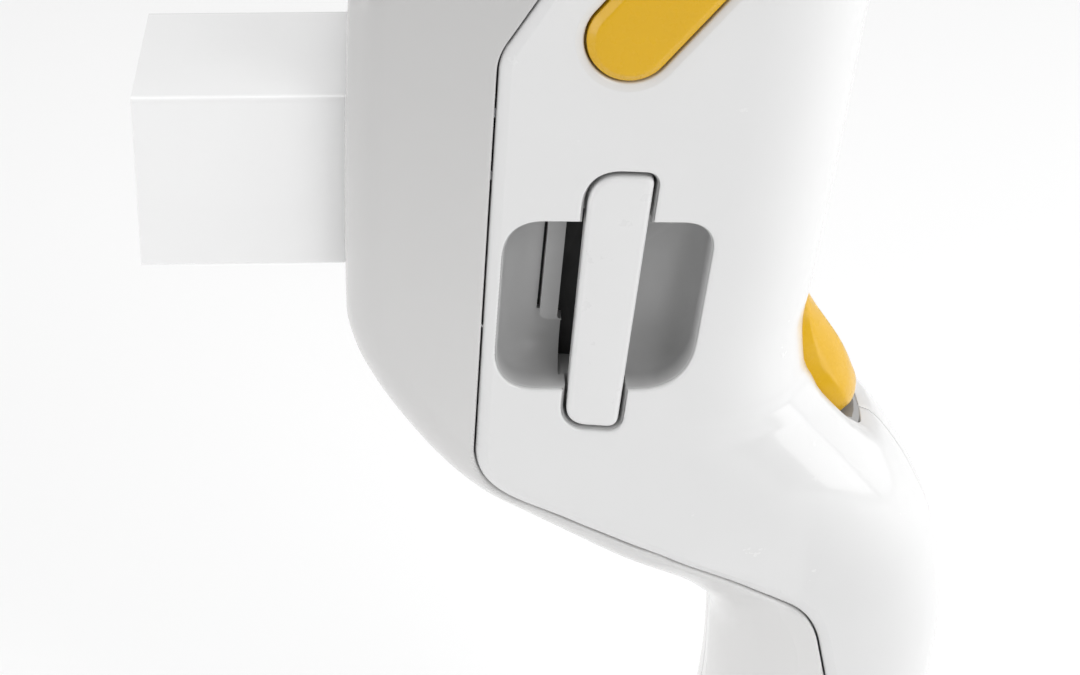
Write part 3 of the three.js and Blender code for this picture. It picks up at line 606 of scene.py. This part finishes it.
# How far from their edges the guide lines of the sheets lie.
SEAM_GUIDES = (0.12, 0.3, 0.55, 1.1, 1.75, 1.9, 2.05)
BACK_GUIDES = (0.25, 0.55, 1.2)
HOUSING_GUIDES = (0.15, 0.4, 0.8)
BUTTON_GUIDES = (0.15, 0.35, 0.8, 1.15, 1.3, 1.45)
POCKET_GUIDES = (0.15, 0.4, 0.8, 1.5)
NOSE_GUIDES = (0.25, 0.6, 1)
# Widths, depths and bends of the edges.
SEAM_SLOPE, BUTTON_SLOPE = (1.9, 0.42, "slope"), (1.3, 0.38, "slope")
FINE_EDGE, BUTTON_EDGE, POCKET_EDGE = (0.5, 0.3, "round"), (0.35, 0.25, "round"), (0.45, 0.3, "round")
HOUSING_EDGE, NOSE_EDGE = (0.6, 0.4, "round"), (1, 0.5, "round")
TRIGGER_DISH = (5.5, 1.35, "dish")
BACK_FOOT, BACK_TOP = -200, 90  # ends of the centre line of the back, past the body


def screw_holes(screws):
    return [disc(x, z, SCREW_HOLE) for x, z in screws]


def make_shells():
    bottom = END_CAP_Z
    recess = half_recess(trigger_opening)
    nose = nose_half(NOSE_CLEAR)
    nose_places = places_on(nose, False)
    cover_seam, housing_seam = seam_on_sheet(0), seam_on_sheet(-GAP)
    cover_edge = np.vstack([
        straight(0, recess[-1, 1], 0, TOP_END)[1:],
        straight(0, TOP_END, cover_seam[-1, 0], TOP_END)[1:-1],
        cover_seam[::-1], straight(cover_seam[0, 0], bottom, 0, bottom)[1:],
        straight(0, bottom, 0, recess[0, 1])[1:-1], recess,
    ])
    housing_edge = np.vstack([
        housing_seam, straight(housing_seam[-1, 0], TOP_END, ACROSS, TOP_END)[1:],
        straight(ACROSS, TOP_END, ACROSS, nose[-1, 1])[1:-1], nose_places[::-1],
        straight(ACROSS, nose[0, 1], ACROSS, bottom)[1:],
        straight(ACROSS, bottom, housing_seam[0, 0], bottom)[1:-1],
    ])
    end_clear = 0.5
    cover_guides = [seam_on_sheet(offset) for offset in SEAM_GUIDES]
    cover_guides += [
        straight(across, bottom + end_clear, across, TOP_END - end_clear) for across in BACK_GUIDES
    ]
    housing_guides = [seam_on_sheet(-GAP - offset) for offset in HOUSING_GUIDES]
    back_line = np.array([[0, BACK_FOOT], [0, recess[0, 1]]], float)
    back_line_high = np.array([[0, recess[-1, 1]], [0, BACK_TOP]], float)
    for side, sign in (("left", -1), ("right", 1)):
        button_hole = grown(button_outline, BUTTON_CLEAR)
        holes, guides, edges = [on_sheet(button_hole)], list(cover_guides), []
        guides += [on_sheet(grown(button_hole, offset)) for offset in BUTTON_GUIDES]
        edges += [
            ("side", seam_line, False, *SEAM_SLOPE), ("side", seam_line, False, *FINE_EDGE),
            ("side", button_hole, True, *BUTTON_SLOPE), ("side", button_hole, True, *BUTTON_EDGE),
            ("back", trigger_opening, True, *TRIGGER_DISH),
            ("back", back_line, False, *FINE_EDGE), ("back", back_line_high, False, *FINE_EDGE),
        ]
        housing_holes = []
        if sign < 0:
            holes.append(on_sheet(pocket_hole))
            rims = [
                bench_to_body(pocket_shape(LINER_LIP + LINER_CLEAR + offset)) for offset in POCKET_GUIDES
            ]
            guides += [on_sheet(rim) for rim in rims]
            edges.append(("side", pocket_hole, True, *POCKET_EDGE))
        else:
            holes += [on_sheet(hole) for hole in screw_holes(COVER_SCREWS)]
            edges += [("side", hole, True, *FINE_EDGE) for hole in screw_holes(COVER_SCREWS)]
            housing_holes = [on_sheet(hole) for hole in screw_holes(HOUSING_SCREWS)]
        found, faces = triangulate(cover_edge, holes, guides)
        cover = shell(f"cover_{side}", sign, found, faces, edges)
        dress(cover, "body", "white_cover", "white_cover", f"side_cover_{side}")

        edges = [
            ("side", grown(seam_line, GAP, closed=False), False, *HOUSING_EDGE),
            ("front", nose, False, *NOSE_EDGE),
        ]
        if sign > 0:
            edges += [("side", hole, True, *FINE_EDGE) for hole in screw_holes(HOUSING_SCREWS)]
        nose_guides = [places_on(nose_half(NOSE_CLEAR + offset), False) for offset in NOSE_GUIDES]
        found, faces = triangulate(housing_edge, housing_holes, housing_guides + nose_guides)
        housing = shell(f"front_housing_{side}", sign, found, faces, edges)
        dress(housing, "body", "pearl_housing", "pearl_housing", f"housing_{side}")


def body_ring(z, shift):
    """A whole level of the body as a ring of points, evenly spread from the back."""
    count, samples = 160, 400
    turn_over = 8  # X run over which the inward shift turns round
    across = np.linspace(0, ACROSS, samples)
    z = np.full(len(across), float(z))
    right = sheet_point(across, z)
    cut = section(z, 0)
    middle = (cut["front"] + cut["rear"]) / 2
    right[:, 0] += np.clip((middle - right[:, 0]) / turn_over, -1, 1) * shift
    right[:, 1] = np.maximum(0, right[:, 1] - shift)
    right[0, 1] = right[-1, 1] = 0
    loop = np.vstack([right, right[::-1][1:-1] * [1, -1, 1]])
    closed = np.vstack([loop, loop[:1]])
    run = np.concatenate([[0], np.cumsum(np.linalg.norm(np.diff(closed, axis=0), axis=1))])
    at = np.arange(count) / count * run[-1]
    return np.stack([np.interp(at, run, closed[:, i]) for i in range(3)], axis=-1)


def gland_ring(radius, angle, z):
    """A level ring about the gland's axis."""
    x, y = GLAND_X + radius * np.cos(angle), radius * np.sin(angle)
    return np.stack([x, y, np.full(len(angle), float(z))], axis=-1)


def make_end_cap():
    """The cap at the handle's end, rounded at its lower edge, with the gland's hole through it."""
    top = END_CAP_Z - GAP
    rings = [body_ring(top, 0.3), body_ring(top - 0.3, 0)]
    for turn in np.linspace(0, math.pi / 2, 7):
        z = BOTTOM_Z + BOTTOM_ROUND * (1 - math.sin(turn))
        rings.append(body_ring(z, BOTTOM_ROUND * (1 - math.cos(turn))))
    outer = rings[-1]
    angle = np.arctan2(outer[:, 1], outer[:, 0] - GLAND_X)
    hole = GLAND_STEM + GAP
    bevel = 0.4
    rings += [
        gland_ring(hole + bevel, angle, BOTTOM_Z), gland_ring(hole, angle, BOTTOM_Z + bevel),
        gland_ring(hole, angle, top),
    ]
    cap = new_piece("end_cap", *ring_torus(rings))
    dress(cap, "body", "pearl_housing", "pearl_housing", "handle_end_cap")


def make_gland():
    """The ribbed gland below the handle's end."""
    profile = [
        (GLAND_BORE, GLAND_TIP + 0.6), (GLAND_BORE + 0.6, GLAND_TIP), (GLAND_RADIUS - 1, GLAND_TIP),
        (GLAND_RADIUS - 0.3, GLAND_TIP + 0.3), (GLAND_RADIUS, GLAND_TIP + 1),
    ]
    ribs, rib_start, rib_pitch = 4, GLAND_TIP + 2, 2
    steps = 72
    for i in range(ribs):
        z = rib_start + i * rib_pitch
        profile += [
            (GLAND_RADIUS, z), (GLAND_RADIUS - 0.7, z + 0.3), (GLAND_RADIUS - 0.7, z + 0.9),
            (GLAND_RADIUS, z + 1.2),
        ]
    profile += [
        (GLAND_RADIUS, BOTTOM_Z - 1.2), (GLAND_RADIUS - 0.6, BOTTOM_Z - GAP), (GLAND_STEM, BOTTOM_Z - GAP),
        (GLAND_STEM, GLAND_INNER_END), (GLAND_BORE, GLAND_INNER_END),
    ]
    angle = np.arange(steps) / steps * 2 * math.pi
    rings = [gland_ring(radius, angle, z) for radius, z in profile]
    dress(new_piece("gland", *ring_torus(rings), math.radians(30)), "body", "grey_plastic", "grey_plastic",
          "cable_gland")


# ---- Pocket, pull bar and release buttons ----
def make_pocket():
    """The grey liner: a finger pocket with a rounded floor, crossed by the pull bar's groove."""
    def bench_ring(outline, y):
        return at_y(bench_to_body(outline), y)

    lip_y, step_y, back_y = BAR_FRONT + 0.9, -24.4, -14.6
    wall, under = pocket_shape(LINER_LIP), pocket_shape(1.4)
    rings = [
        bench_ring(wall, lip_y), bench_ring(wall, step_y), bench_ring(under, step_y + 0.2),
        bench_ring(under, back_y),
    ]
    liner = new_piece("pocket_liner", *loft(rings))

    def hollow(name, shape, floor, corner, scale):
        mouth = grown(shape, 0.3)
        levels = [
            bench_ring(mouth, -28), bench_ring(mouth, lip_y - 0.05), bench_ring(shape, lip_y + 0.35),
        ]
        levels.append(bench_ring(shape, floor - corner))
        for turn in np.linspace(0.15, math.pi / 2, 8):
            inset = corner * (1 - math.cos(turn))
            levels.append(bench_ring(shape * (1 - inset / scale), floor - corner * (1 - math.sin(turn))))
        return new_piece(name, *loft(levels))

    def box(name, a0, a1, y0, y1, b0, b1, radius=0.6):
        shape = rounded([(a0, b0, radius), (a1, b0, radius), (a1, b1, radius), (a0, b1, radius)], steps=4)
        return new_piece(name, *loft([bench_ring(shape, y0), bench_ring(shape, y1)]))

    collar = box("collar", -9.8, 3.4, POCKET_FLOOR - 1.6, POCKET_FLOOR + 1, -8.5, 13, 1.4)
    cut_away(liner, [
        hollow("pocket_hollow", pocket_outline, POCKET_FLOOR, 6, 17),
        hollow("groove_hollow", groove_outline, GROOVE_FLOOR, 0.8, 12),
    ])
    cut_away(liner, [collar], "UNION")
    cut_away(liner, [
        box("slot", -2.6, 2.6, -30, 0, -20.1, 20.1, 0.4),
        box("collar_gap", -10.2, -9.75, POCKET_FLOOR - 2, 0, -7.5, 12.4, 0.1),
        box("web_slot", -6.9, -2.4, POCKET_FLOOR - 4, 0, -8.3, 12.8, 0.6),
        box("lower_slot", -6.2, -2.4, BAR_BACK + 0.3, 0, -16.2, -7.6, 0.4),
    ])
    # The liner wears a lighter copy of grey_plastic: painted light, offsetting the deep shade in the
    # pocket.
    dress(liner, "body", "grey_plastic", "pocket_grey_painted_light", "filter_pocket")
    # Painted shadow: a black sheet behind the web slot stands in for the shade the pull bar casts to its
    # left; the slot itself is cut in the liner.
    shadow_backing = box("painted_shadow_behind_slot", -10.8, -2.7, -14.4, -13.5, -17, 14)
    dress(shadow_backing, "body", "black_rubber", "black_rubber")


def make_pull_bar():
    """The flush pull bar, its face edges rounded and its face very slightly crowned."""
    edge = 0.9
    back_edge, face_y = 0.3, BAR_FRONT + 0.1
    rings = [
        at_y(bench_to_body(grown(bar_outline, -back_edge)), BAR_BACK),
        at_y(bench_to_body(bar_outline), BAR_BACK - back_edge),
    ]
    for turn in np.linspace(0, math.pi / 2, 8):
        inset = edge * (1 - math.cos(turn))
        level_y = face_y + edge * (1 - math.sin(turn))
        rings.append(at_y(bench_to_body(grown(bar_outline, -inset)), level_y))
    face = grown(bar_outline, -edge)
    for share, rise in ((0.7, 0.06), (0.35, 0.09)):
        crown = face * [share, 1 - (1 - share) * 0.25]
        rings.append(at_y(bench_to_body(crown), face_y - rise))
    bar = new_piece("pull_bar", *loft(rings))
    dress(bar, "filter_cassette", "white_cover", "white_bar", "filter_handle")


def make_release_buttons():
    """Slot-shaped buttons: a chamfer round a nearly flat, slightly domed face, on a flanged skirt."""
    heading = np.array(BUTTON_TO) - np.array(BUTTON_FROM)
    middle = (np.array(BUTTON_TO) + np.array(BUTTON_FROM)) / 2
    half_length = np.linalg.norm(heading) / 2
    along = heading / np.linalg.norm(heading)
    run = np.clip((button_outline - middle) @ along, -half_length, half_length)
    spine = middle + run[:, None] * along

    def ring(inset, y):
        share = (BUTTON_RADIUS - inset) / BUTTON_RADIUS
        return at_y(spine + (button_outline - spine) * share, y)

    top = HEAD_HALF + BUTTON_PROUD
    flange_y = HEAD_HALF - 2.4 - GAP
    levels = [  # how far in from the outline, and the half width there
        (-1.3, flange_y - 0.6), (-1.3, flange_y), (0, flange_y + 0.02), (0, top - 1.5), (0.06, top - 1.25),
        (1.13, top - 0.28), (1.3, top - 0.16), (1.55, top - 0.1), (2.6, top - 0.05), (4.2, top - 0.01),
        (5.6, top),
    ]
    stem_end, stem_outline = 22.6, disc(78, 28, 2, 24)
    for side, sign in (("left", -1), ("right", 1)):
        rings = [ring(inset, sign * y) for inset, y in levels]
        button = new_piece(f"button_{side}", *loft(rings), math.radians(32))
        stem = [at_y(stem_outline, sign * y) for y in (flange_y - 0.3, stem_end)]
        cut_away(button, [new_piece("stem", *loft(stem))], "UNION")
        dress(button, f"button_{side}", "yellow_button", "yellow", f"release_button_{side}")


# ---- Trigger ----
# The crest as (x, z) on the centre plane, and the other lines as (x, y, z) on the right side. Some
# points differ from the CAD's.
CREST = [
    (106.4, -26.9), (108.6, -30.6), (110.9, -34), (113.8, -38.6), (115.6, -42.6), (116.7, -46.2),
    (116.4, -48.6),
]
RIDGE = [
    (106.3, 0.9, -27), (107.2, 3, -29.3), (107.9, 4.2, -31.6), (108.8, 5.4, -35.6), (109.9, 6.6, -38.9),
    (111.9, 7.3, -41.8), (113.6, 7.1, -44.3), (114.9, 5.6, -47.3), (115.7, 2.4, -48.8),
]
FOOT = [
    (105.2, 1.2, -26.9), (105.5, 3.6, -29), (105.9, 5, -32), (106.2, 6.4, -36), (107.1, 7.8, -40.3),
    (109, 8.6, -44.6), (111.2, 8.2, -47.4), (113, 6.2, -49), (114.3, 2.8, -49.3),
]
INNER = [
    (103.9, 1, -27.6), (103.6, 2.8, -29), (103.5, 3, -31), (103.8, 4, -35), (104.8, 5, -39.2),
    (106.6, 6, -43.4), (108.4, 5.6, -45.8), (110.3, 4, -47.4), (111.4, 2, -47.9),
]


def resampled(points, count):
    """A smooth curve through points, as evenly spread points."""
    points = np.array(points, float)
    at = np.concatenate([[0], np.cumsum(np.linalg.norm(np.diff(points, axis=0), axis=1))])
    wanted = np.linspace(0, at[-1], count)
    curves = [smooth_bend(at, points[:, i]) for i in range(points.shape[1])]
    return np.stack([curve(wanted) for curve in curves], axis=-1)


def smooth_bend(at, values):
    """A cubic curve through values with slopes taken across neighbours."""
    slopes = np.gradient(values, at)

    def curve(where):
        i = np.clip(np.searchsorted(at, where, side="right") - 1, 0, len(at) - 2)
        span = at[i + 1] - at[i]
        u = (where - at[i]) / span
        h00, h10 = 2 * u**3 - 3 * u**2 + 1, u**3 - 2 * u**2 + u
        h01, h11 = -2 * u**3 + 3 * u**2, u**3 - u**2
        return h00 * values[i] + h10 * span * slopes[i] + h01 * values[i + 1] + h11 * span * slopes[i + 1]

    return curve


def make_trigger():
    """The crowned teardrop trigger, as sections from side to side along its length."""
    count = 44
    crest = resampled([(x, 0, z) for x, z in CREST], count)
    ridge, foot, inner = (resampled(points, count) for points in (RIDGE, FOOT, INNER))
    mirror = np.array([1, -1, 1])
    sections = []
    for i in range(count):
        half = [
            inner[i] * [1, 0, 1], inner[i], inner[i] * 0.4 + foot[i] * 0.6,
            foot[i] * 0.97 + inner[i] * 0.03,
        ]
        for share in (0.12, 0.35, 0.6, 0.82, 0.93):
            half.append(foot[i] + (ridge[i] - foot[i]) * share)
        inward = crest[i] - ridge[i]
        half.append(ridge[i] + inward * 0.03 + np.array([-0.04, 0, 0]))
        for share in (0.1, 0.25, 0.45, 0.65, 0.85, 1):
            bulge = 0.35 * math.sin(math.pi * share) * abs(ridge[i][1]) / 6
            half.append(ridge[i] + inward * share + np.array([bulge, 0, bulge * 0.3]))
        left = [point * mirror for point in half]
        sections.append(np.array(left + half[::-1][1:-1]))
    trigger = new_piece("trigger", *loft(sections), math.radians(50))
    bore = [at_y(disc(105.4, -28.4, 1.1, 24), y) for y in (-12, 12)]
    cut_away(trigger, [new_piece("bore", *loft(bore))])
    dress(trigger, "trigger", "yellow_button", "yellow", "trigger_button")


# ---- Materials ----
def material(name, base, roughness, metallic=0.0, coat=0.0, mottle=0.04, mottle_scale=60.0, grain=0.02,
             grain_scale=2500.0, wear=0.25, wear_color=None, scratches=0.0, transmission=0.0, ior=1.46,
             specular=0.5, grain_depth=0.00002, painted_light_tone=None):
    """A surface with mottled colour, uneven gloss, fine grain and worn edges.

    It can blend to a lighter tone towards its foot: painted light, for the brighter light on the lower
    body.
    """
    made = bpy.data.materials.new(name)
    made.use_nodes = True
    nodes, links = made.node_tree.nodes, made.node_tree.links
    shader = nodes["Principled BSDF"]
    shader.inputs["Metallic"].default_value = metallic
    shader.inputs["Coat Weight"].default_value = coat
    shader.inputs["Coat Roughness"].default_value = 0.06
    shader.inputs["IOR"].default_value = ior
    shader.inputs["Specular IOR Level"].default_value = specular
    shader.inputs["Transmission Weight"].default_value = transmission
    place = nodes.new("ShaderNodeTexCoord")

    def noise(scale, detail, rough=0.5):
        node = nodes.new("ShaderNodeTexNoise")
        node.inputs["Scale"].default_value = scale
        node.inputs["Detail"].default_value = detail
        node.inputs["Roughness"].default_value = rough
        links.new(place.outputs["Object"], node.inputs["Vector"])
        return node.outputs["Fac"]

    def spread(source, low, high, start=0.3, end=0.7):
        node = nodes.new("ShaderNodeMapRange")
        node.inputs["From Min"].default_value, node.inputs["From Max"].default_value = start, end
        node.inputs["To Min"].default_value, node.inputs["To Max"].default_value = low, high
        links.new(source, node.inputs["Value"])
        return node.outputs["Result"]

    def blend(factor, first, second):
        node = nodes.new("ShaderNodeMix")
        node.data_type = "RGBA"
        links.new(factor, node.inputs["Factor"])
        for socket, value in ((node.inputs["A"], first), (node.inputs["B"], second)):
            if isinstance(value, tuple):
                socket.default_value = (*value, 1)
            else:
                links.new(value, socket)
        return node.outputs["Result"]

    dark = tuple(c * (1 - mottle) for c in base)
    light = tuple(min(1, c * (1 + mottle)) for c in base)
    colour = blend(spread(noise(mottle_scale, 4), 0, 1), dark, light)
    # Painted light: the colour blends to a lighter tone towards the foot, standing in for brighter light
    # low on the body.
    if painted_light_tone:
        split = nodes.new("ShaderNodeSeparateXYZ")
        links.new(place.outputs["Object"], split.inputs["Vector"])
        colour = blend(spread(split.outputs["Z"], 1, 0, BOTTOM_Z * MM, TOP_Z * MM), colour, painted_light_tone)
    geometry = nodes.new("ShaderNodeNewGeometry")
    worn = spread(geometry.outputs["Pointiness"], 0, wear, 0.52, 0.62)
    colour = blend(worn, colour, wear_color or tuple(min(1, c * 0.7 + 0.3) for c in base))
    links.new(colour, shader.inputs["Base Color"])

    gloss = spread(noise(mottle_scale * 3, 6, 0.6), roughness * 0.85, roughness * 1.2 + 0.01)
    if scratches:
        stretch_node = nodes.new("ShaderNodeMapping")
        stretch_node.inputs["Scale"].default_value = (60, 60, 1400)
        links.new(place.outputs["Object"], stretch_node.inputs["Vector"])
        lines = nodes.new("ShaderNodeTexNoise")
        lines.inputs["Scale"].default_value = 1.5
        lines.inputs["Detail"].default_value = 6
        links.new(stretch_node.outputs["Vector"], lines.inputs["Vector"])
        add = nodes.new("ShaderNodeMath")
        add.operation = "ADD"
        links.new(gloss, add.inputs[0])
        links.new(spread(lines.outputs["Fac"], -scratches, scratches), add.inputs[1])
        gloss = add.outputs["Value"]
    links.new(gloss, shader.inputs["Roughness"])

    bump = nodes.new("ShaderNodeBump")
    bump.inputs["Strength"].default_value = grain
    bump.inputs["Distance"].default_value = grain_depth
    links.new(noise(grain_scale, 3), bump.inputs["Height"])
    links.new(bump.outputs["Normal"], shader.inputs["Normal"])
    return made


FINISHES = {
    # The pearl housing carries painted light: its colour turns lighter towards the foot.
    "pearl_housing": dict(
        base=(0.5, 0.496, 0.492), roughness=0.2, coat=0.4, mottle=0.006, mottle_scale=90, grain=0.1,
        grain_scale=1800, wear=0.03, painted_light_tone=(0.84, 0.835, 0.83),
    ),
    "white_cover": dict(
        base=(0.75, 0.75, 0.75), roughness=0.22, coat=0.4, mottle=0.005, mottle_scale=70, grain=0.08,
        grain_scale=1800, wear=0.03,
    ),
    "white_bar": dict(
        base=(0.76, 0.76, 0.76), roughness=0.3, coat=0.2, mottle=0.004, mottle_scale=80, grain=0.08,
        grain_scale=2000, wear=0.03,
    ),
    "yellow": dict(
        base=(0.71, 0.41, 0.008), roughness=0.26, coat=0.1, specular=0.35, mottle=0.015,
        mottle_scale=120, grain=0.15, grain_scale=2200, wear=0.2, wear_color=(0.86, 0.6, 0.16),
    ),
    # A lighter copy of grey_plastic for the pocket liner: painted light against the pocket's shade.
    "pocket_grey_painted_light": dict(
        base=(0.5, 0.5, 0.5), roughness=0.33, mottle=0.02, mottle_scale=150, grain=0.35,
        grain_scale=2600, wear=0.15,
    ),
    "grey_plastic": dict(
        base=(0.3, 0.3, 0.3), roughness=0.42, mottle=0.05, mottle_scale=150, grain=0.4,
        grain_scale=2600, wear=0.2,
    ),
    "black_rubber": dict(
        base=(0.012, 0.012, 0.012), roughness=0.6, mottle=0.2, grain=0.6, grain_scale=3500, wear=0.1,
    ),
    "crystal": dict(
        base=(0.99, 0.99, 0.99), roughness=0.12, transmission=0.1, ior=1.5, coat=0.3, mottle=0.004,
        grain=0.01, wear=0.02,
    ),
    "filter_glass": dict(
        base=(0.95, 0.42, 0.08), roughness=0.03, transmission=0.9, ior=1.52, mottle=0.02, grain=0.01,
        wear=0.05,
    ),
    "quartz": dict(
        base=(0.93, 0.95, 0.96), roughness=0.04, transmission=1.0, ior=1.46, mottle=0.01, grain=0.02,
        wear=0.05,
    ),
    "silver_mirror": dict(
        base=(0.86, 0.87, 0.88), roughness=0.06, metallic=1.0, mottle=0.02, grain=0.02, wear=0.1,
    ),
    "aluminium": dict(
        base=(0.55, 0.56, 0.58), roughness=0.33, metallic=1.0, mottle=0.05, grain=0.2, wear=0.3,
        scratches=0.07,
    ),
    "steel": dict(
        base=(0.44, 0.45, 0.47), roughness=0.28, metallic=1.0, mottle=0.05, grain=0.15, wear=0.3,
        scratches=0.08,
    ),
    "board_green": dict(
        base=(0.02, 0.13, 0.05), roughness=0.45, coat=0.3, mottle=0.15, mottle_scale=300, grain=0.3,
        wear=0.2,
    ),
    "black_plastic": dict(base=(0.02, 0.02, 0.022), roughness=0.4, mottle=0.1, grain=0.3, wear=0.2),
    "ceramic": dict(
        base=(0.78, 0.74, 0.66), roughness=0.65, mottle=0.06, mottle_scale=200, grain=0.5, wear=0.1,
    ),
    "hose_tube": dict(base=(0.5, 0.55, 0.6), roughness=0.4, mottle=0.05, grain=0.2, wear=0.1),
    "lead_red": dict(base=(0.3, 0.012, 0.012), roughness=0.5, mottle=0.08, grain=0.3, wear=0.1),
}
made_materials = {name: material(name, **finish) for name, finish in FINISHES.items()}


def dress(piece, body, slot, finish, *nodes):
    """Gives a piece its body and finish, and lets it stand for CAD nodes; the slot argument is not used."""
    piece.data.materials.clear()
    piece.data.materials.append(made_materials[finish])
    even_normals(piece)
    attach(piece, body)
    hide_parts(*nodes)


def finish_cad_nodes():
    """The CAD nodes that stay get their finish and softened edges."""
    slots = {row["node"]: row["material_slot"] for row in frame["record"]["subparts"]}
    for name, node in frame["nodes"].items():
        if node.hide_render:
            continue
        for i in range(len(node.material_slots)):
            node.material_slots[i].link = "OBJECT"
            node.material_slots[i].material = made_materials[slots[name]]
        bevel = node.modifiers.new("soft_edges", "BEVEL")
        bevel.width = (0.35 if name == "light_guide" else 0.12) * MM
        bevel.segments = 3 if name == "light_guide" else 2
        bevel.limit_method, bevel.angle_limit = "ANGLE", math.radians(50)


# ---- Stage ----
def make_stage():
    floor_z = cad_box[0].z - 0.0005  # half a millimetre below the object
    size = 6
    mesh = bpy.data.meshes.new("floor")
    corners = [(-size, -size), (size, -size), (size, size), (-size, size)]
    mesh.from_pydata([(x, y, floor_z) for x, y in corners], [], [(0, 1, 2, 3)])
    floor = bpy.data.objects.new("floor", mesh)
    bpy.context.collection.objects.link(floor)
    pale = bpy.data.materials.new("pale_floor")
    pale.use_nodes = True
    pale.node_tree.nodes["Principled BSDF"].inputs["Base Color"].default_value = (0.93, 0.93, 0.93, 1)
    pale.node_tree.nodes["Principled BSDF"].inputs["Roughness"].default_value = 0.9
    mesh.materials.append(pale)

    world = bpy.data.worlds.new("studio")
    world.use_nodes = True
    world.node_tree.nodes["Background"].inputs["Color"].default_value = (1, 1, 1, 1)
    world.node_tree.nodes["Background"].inputs["Strength"].default_value = 0.42
    bpy.context.scene.world = world
    middle = Vector((75, 0, -50)) * MM

    def light(name, position, width, power):
        data = bpy.data.lights.new(name, "AREA")
        data.shape, data.size, data.size_y, data.energy = "RECTANGLE", width, width, power
        lamp = bpy.data.objects.new(name, data)
        lamp.location = Vector(position)
        lamp.rotation_mode = "QUATERNION"
        lamp.rotation_quaternion = (middle - lamp.location).to_track_quat("-Z", "Y")
        bpy.context.collection.objects.link(lamp)

    light("key", (0.75, -0.85, 0.6), 0.6, 4)
    light("side", (1.2, -0.25, 0.3), 0.8, 4.5)
    light("rim", (1.1, 0.55, 0.25), 0.8, 2.2)
    light("fill", (-1.2, -0.35, 0.25), 0.8, 6)
    light("top", (0.0, 0.3, 1.3), 1.4, 10.5)
    bpy.context.scene.view_settings.view_transform = "Standard"


make_camera()
make_shells()
make_end_cap()
make_gland()
make_pocket()
make_pull_bar()
make_release_buttons()
make_trigger()
finish_cad_nodes()
make_stage()
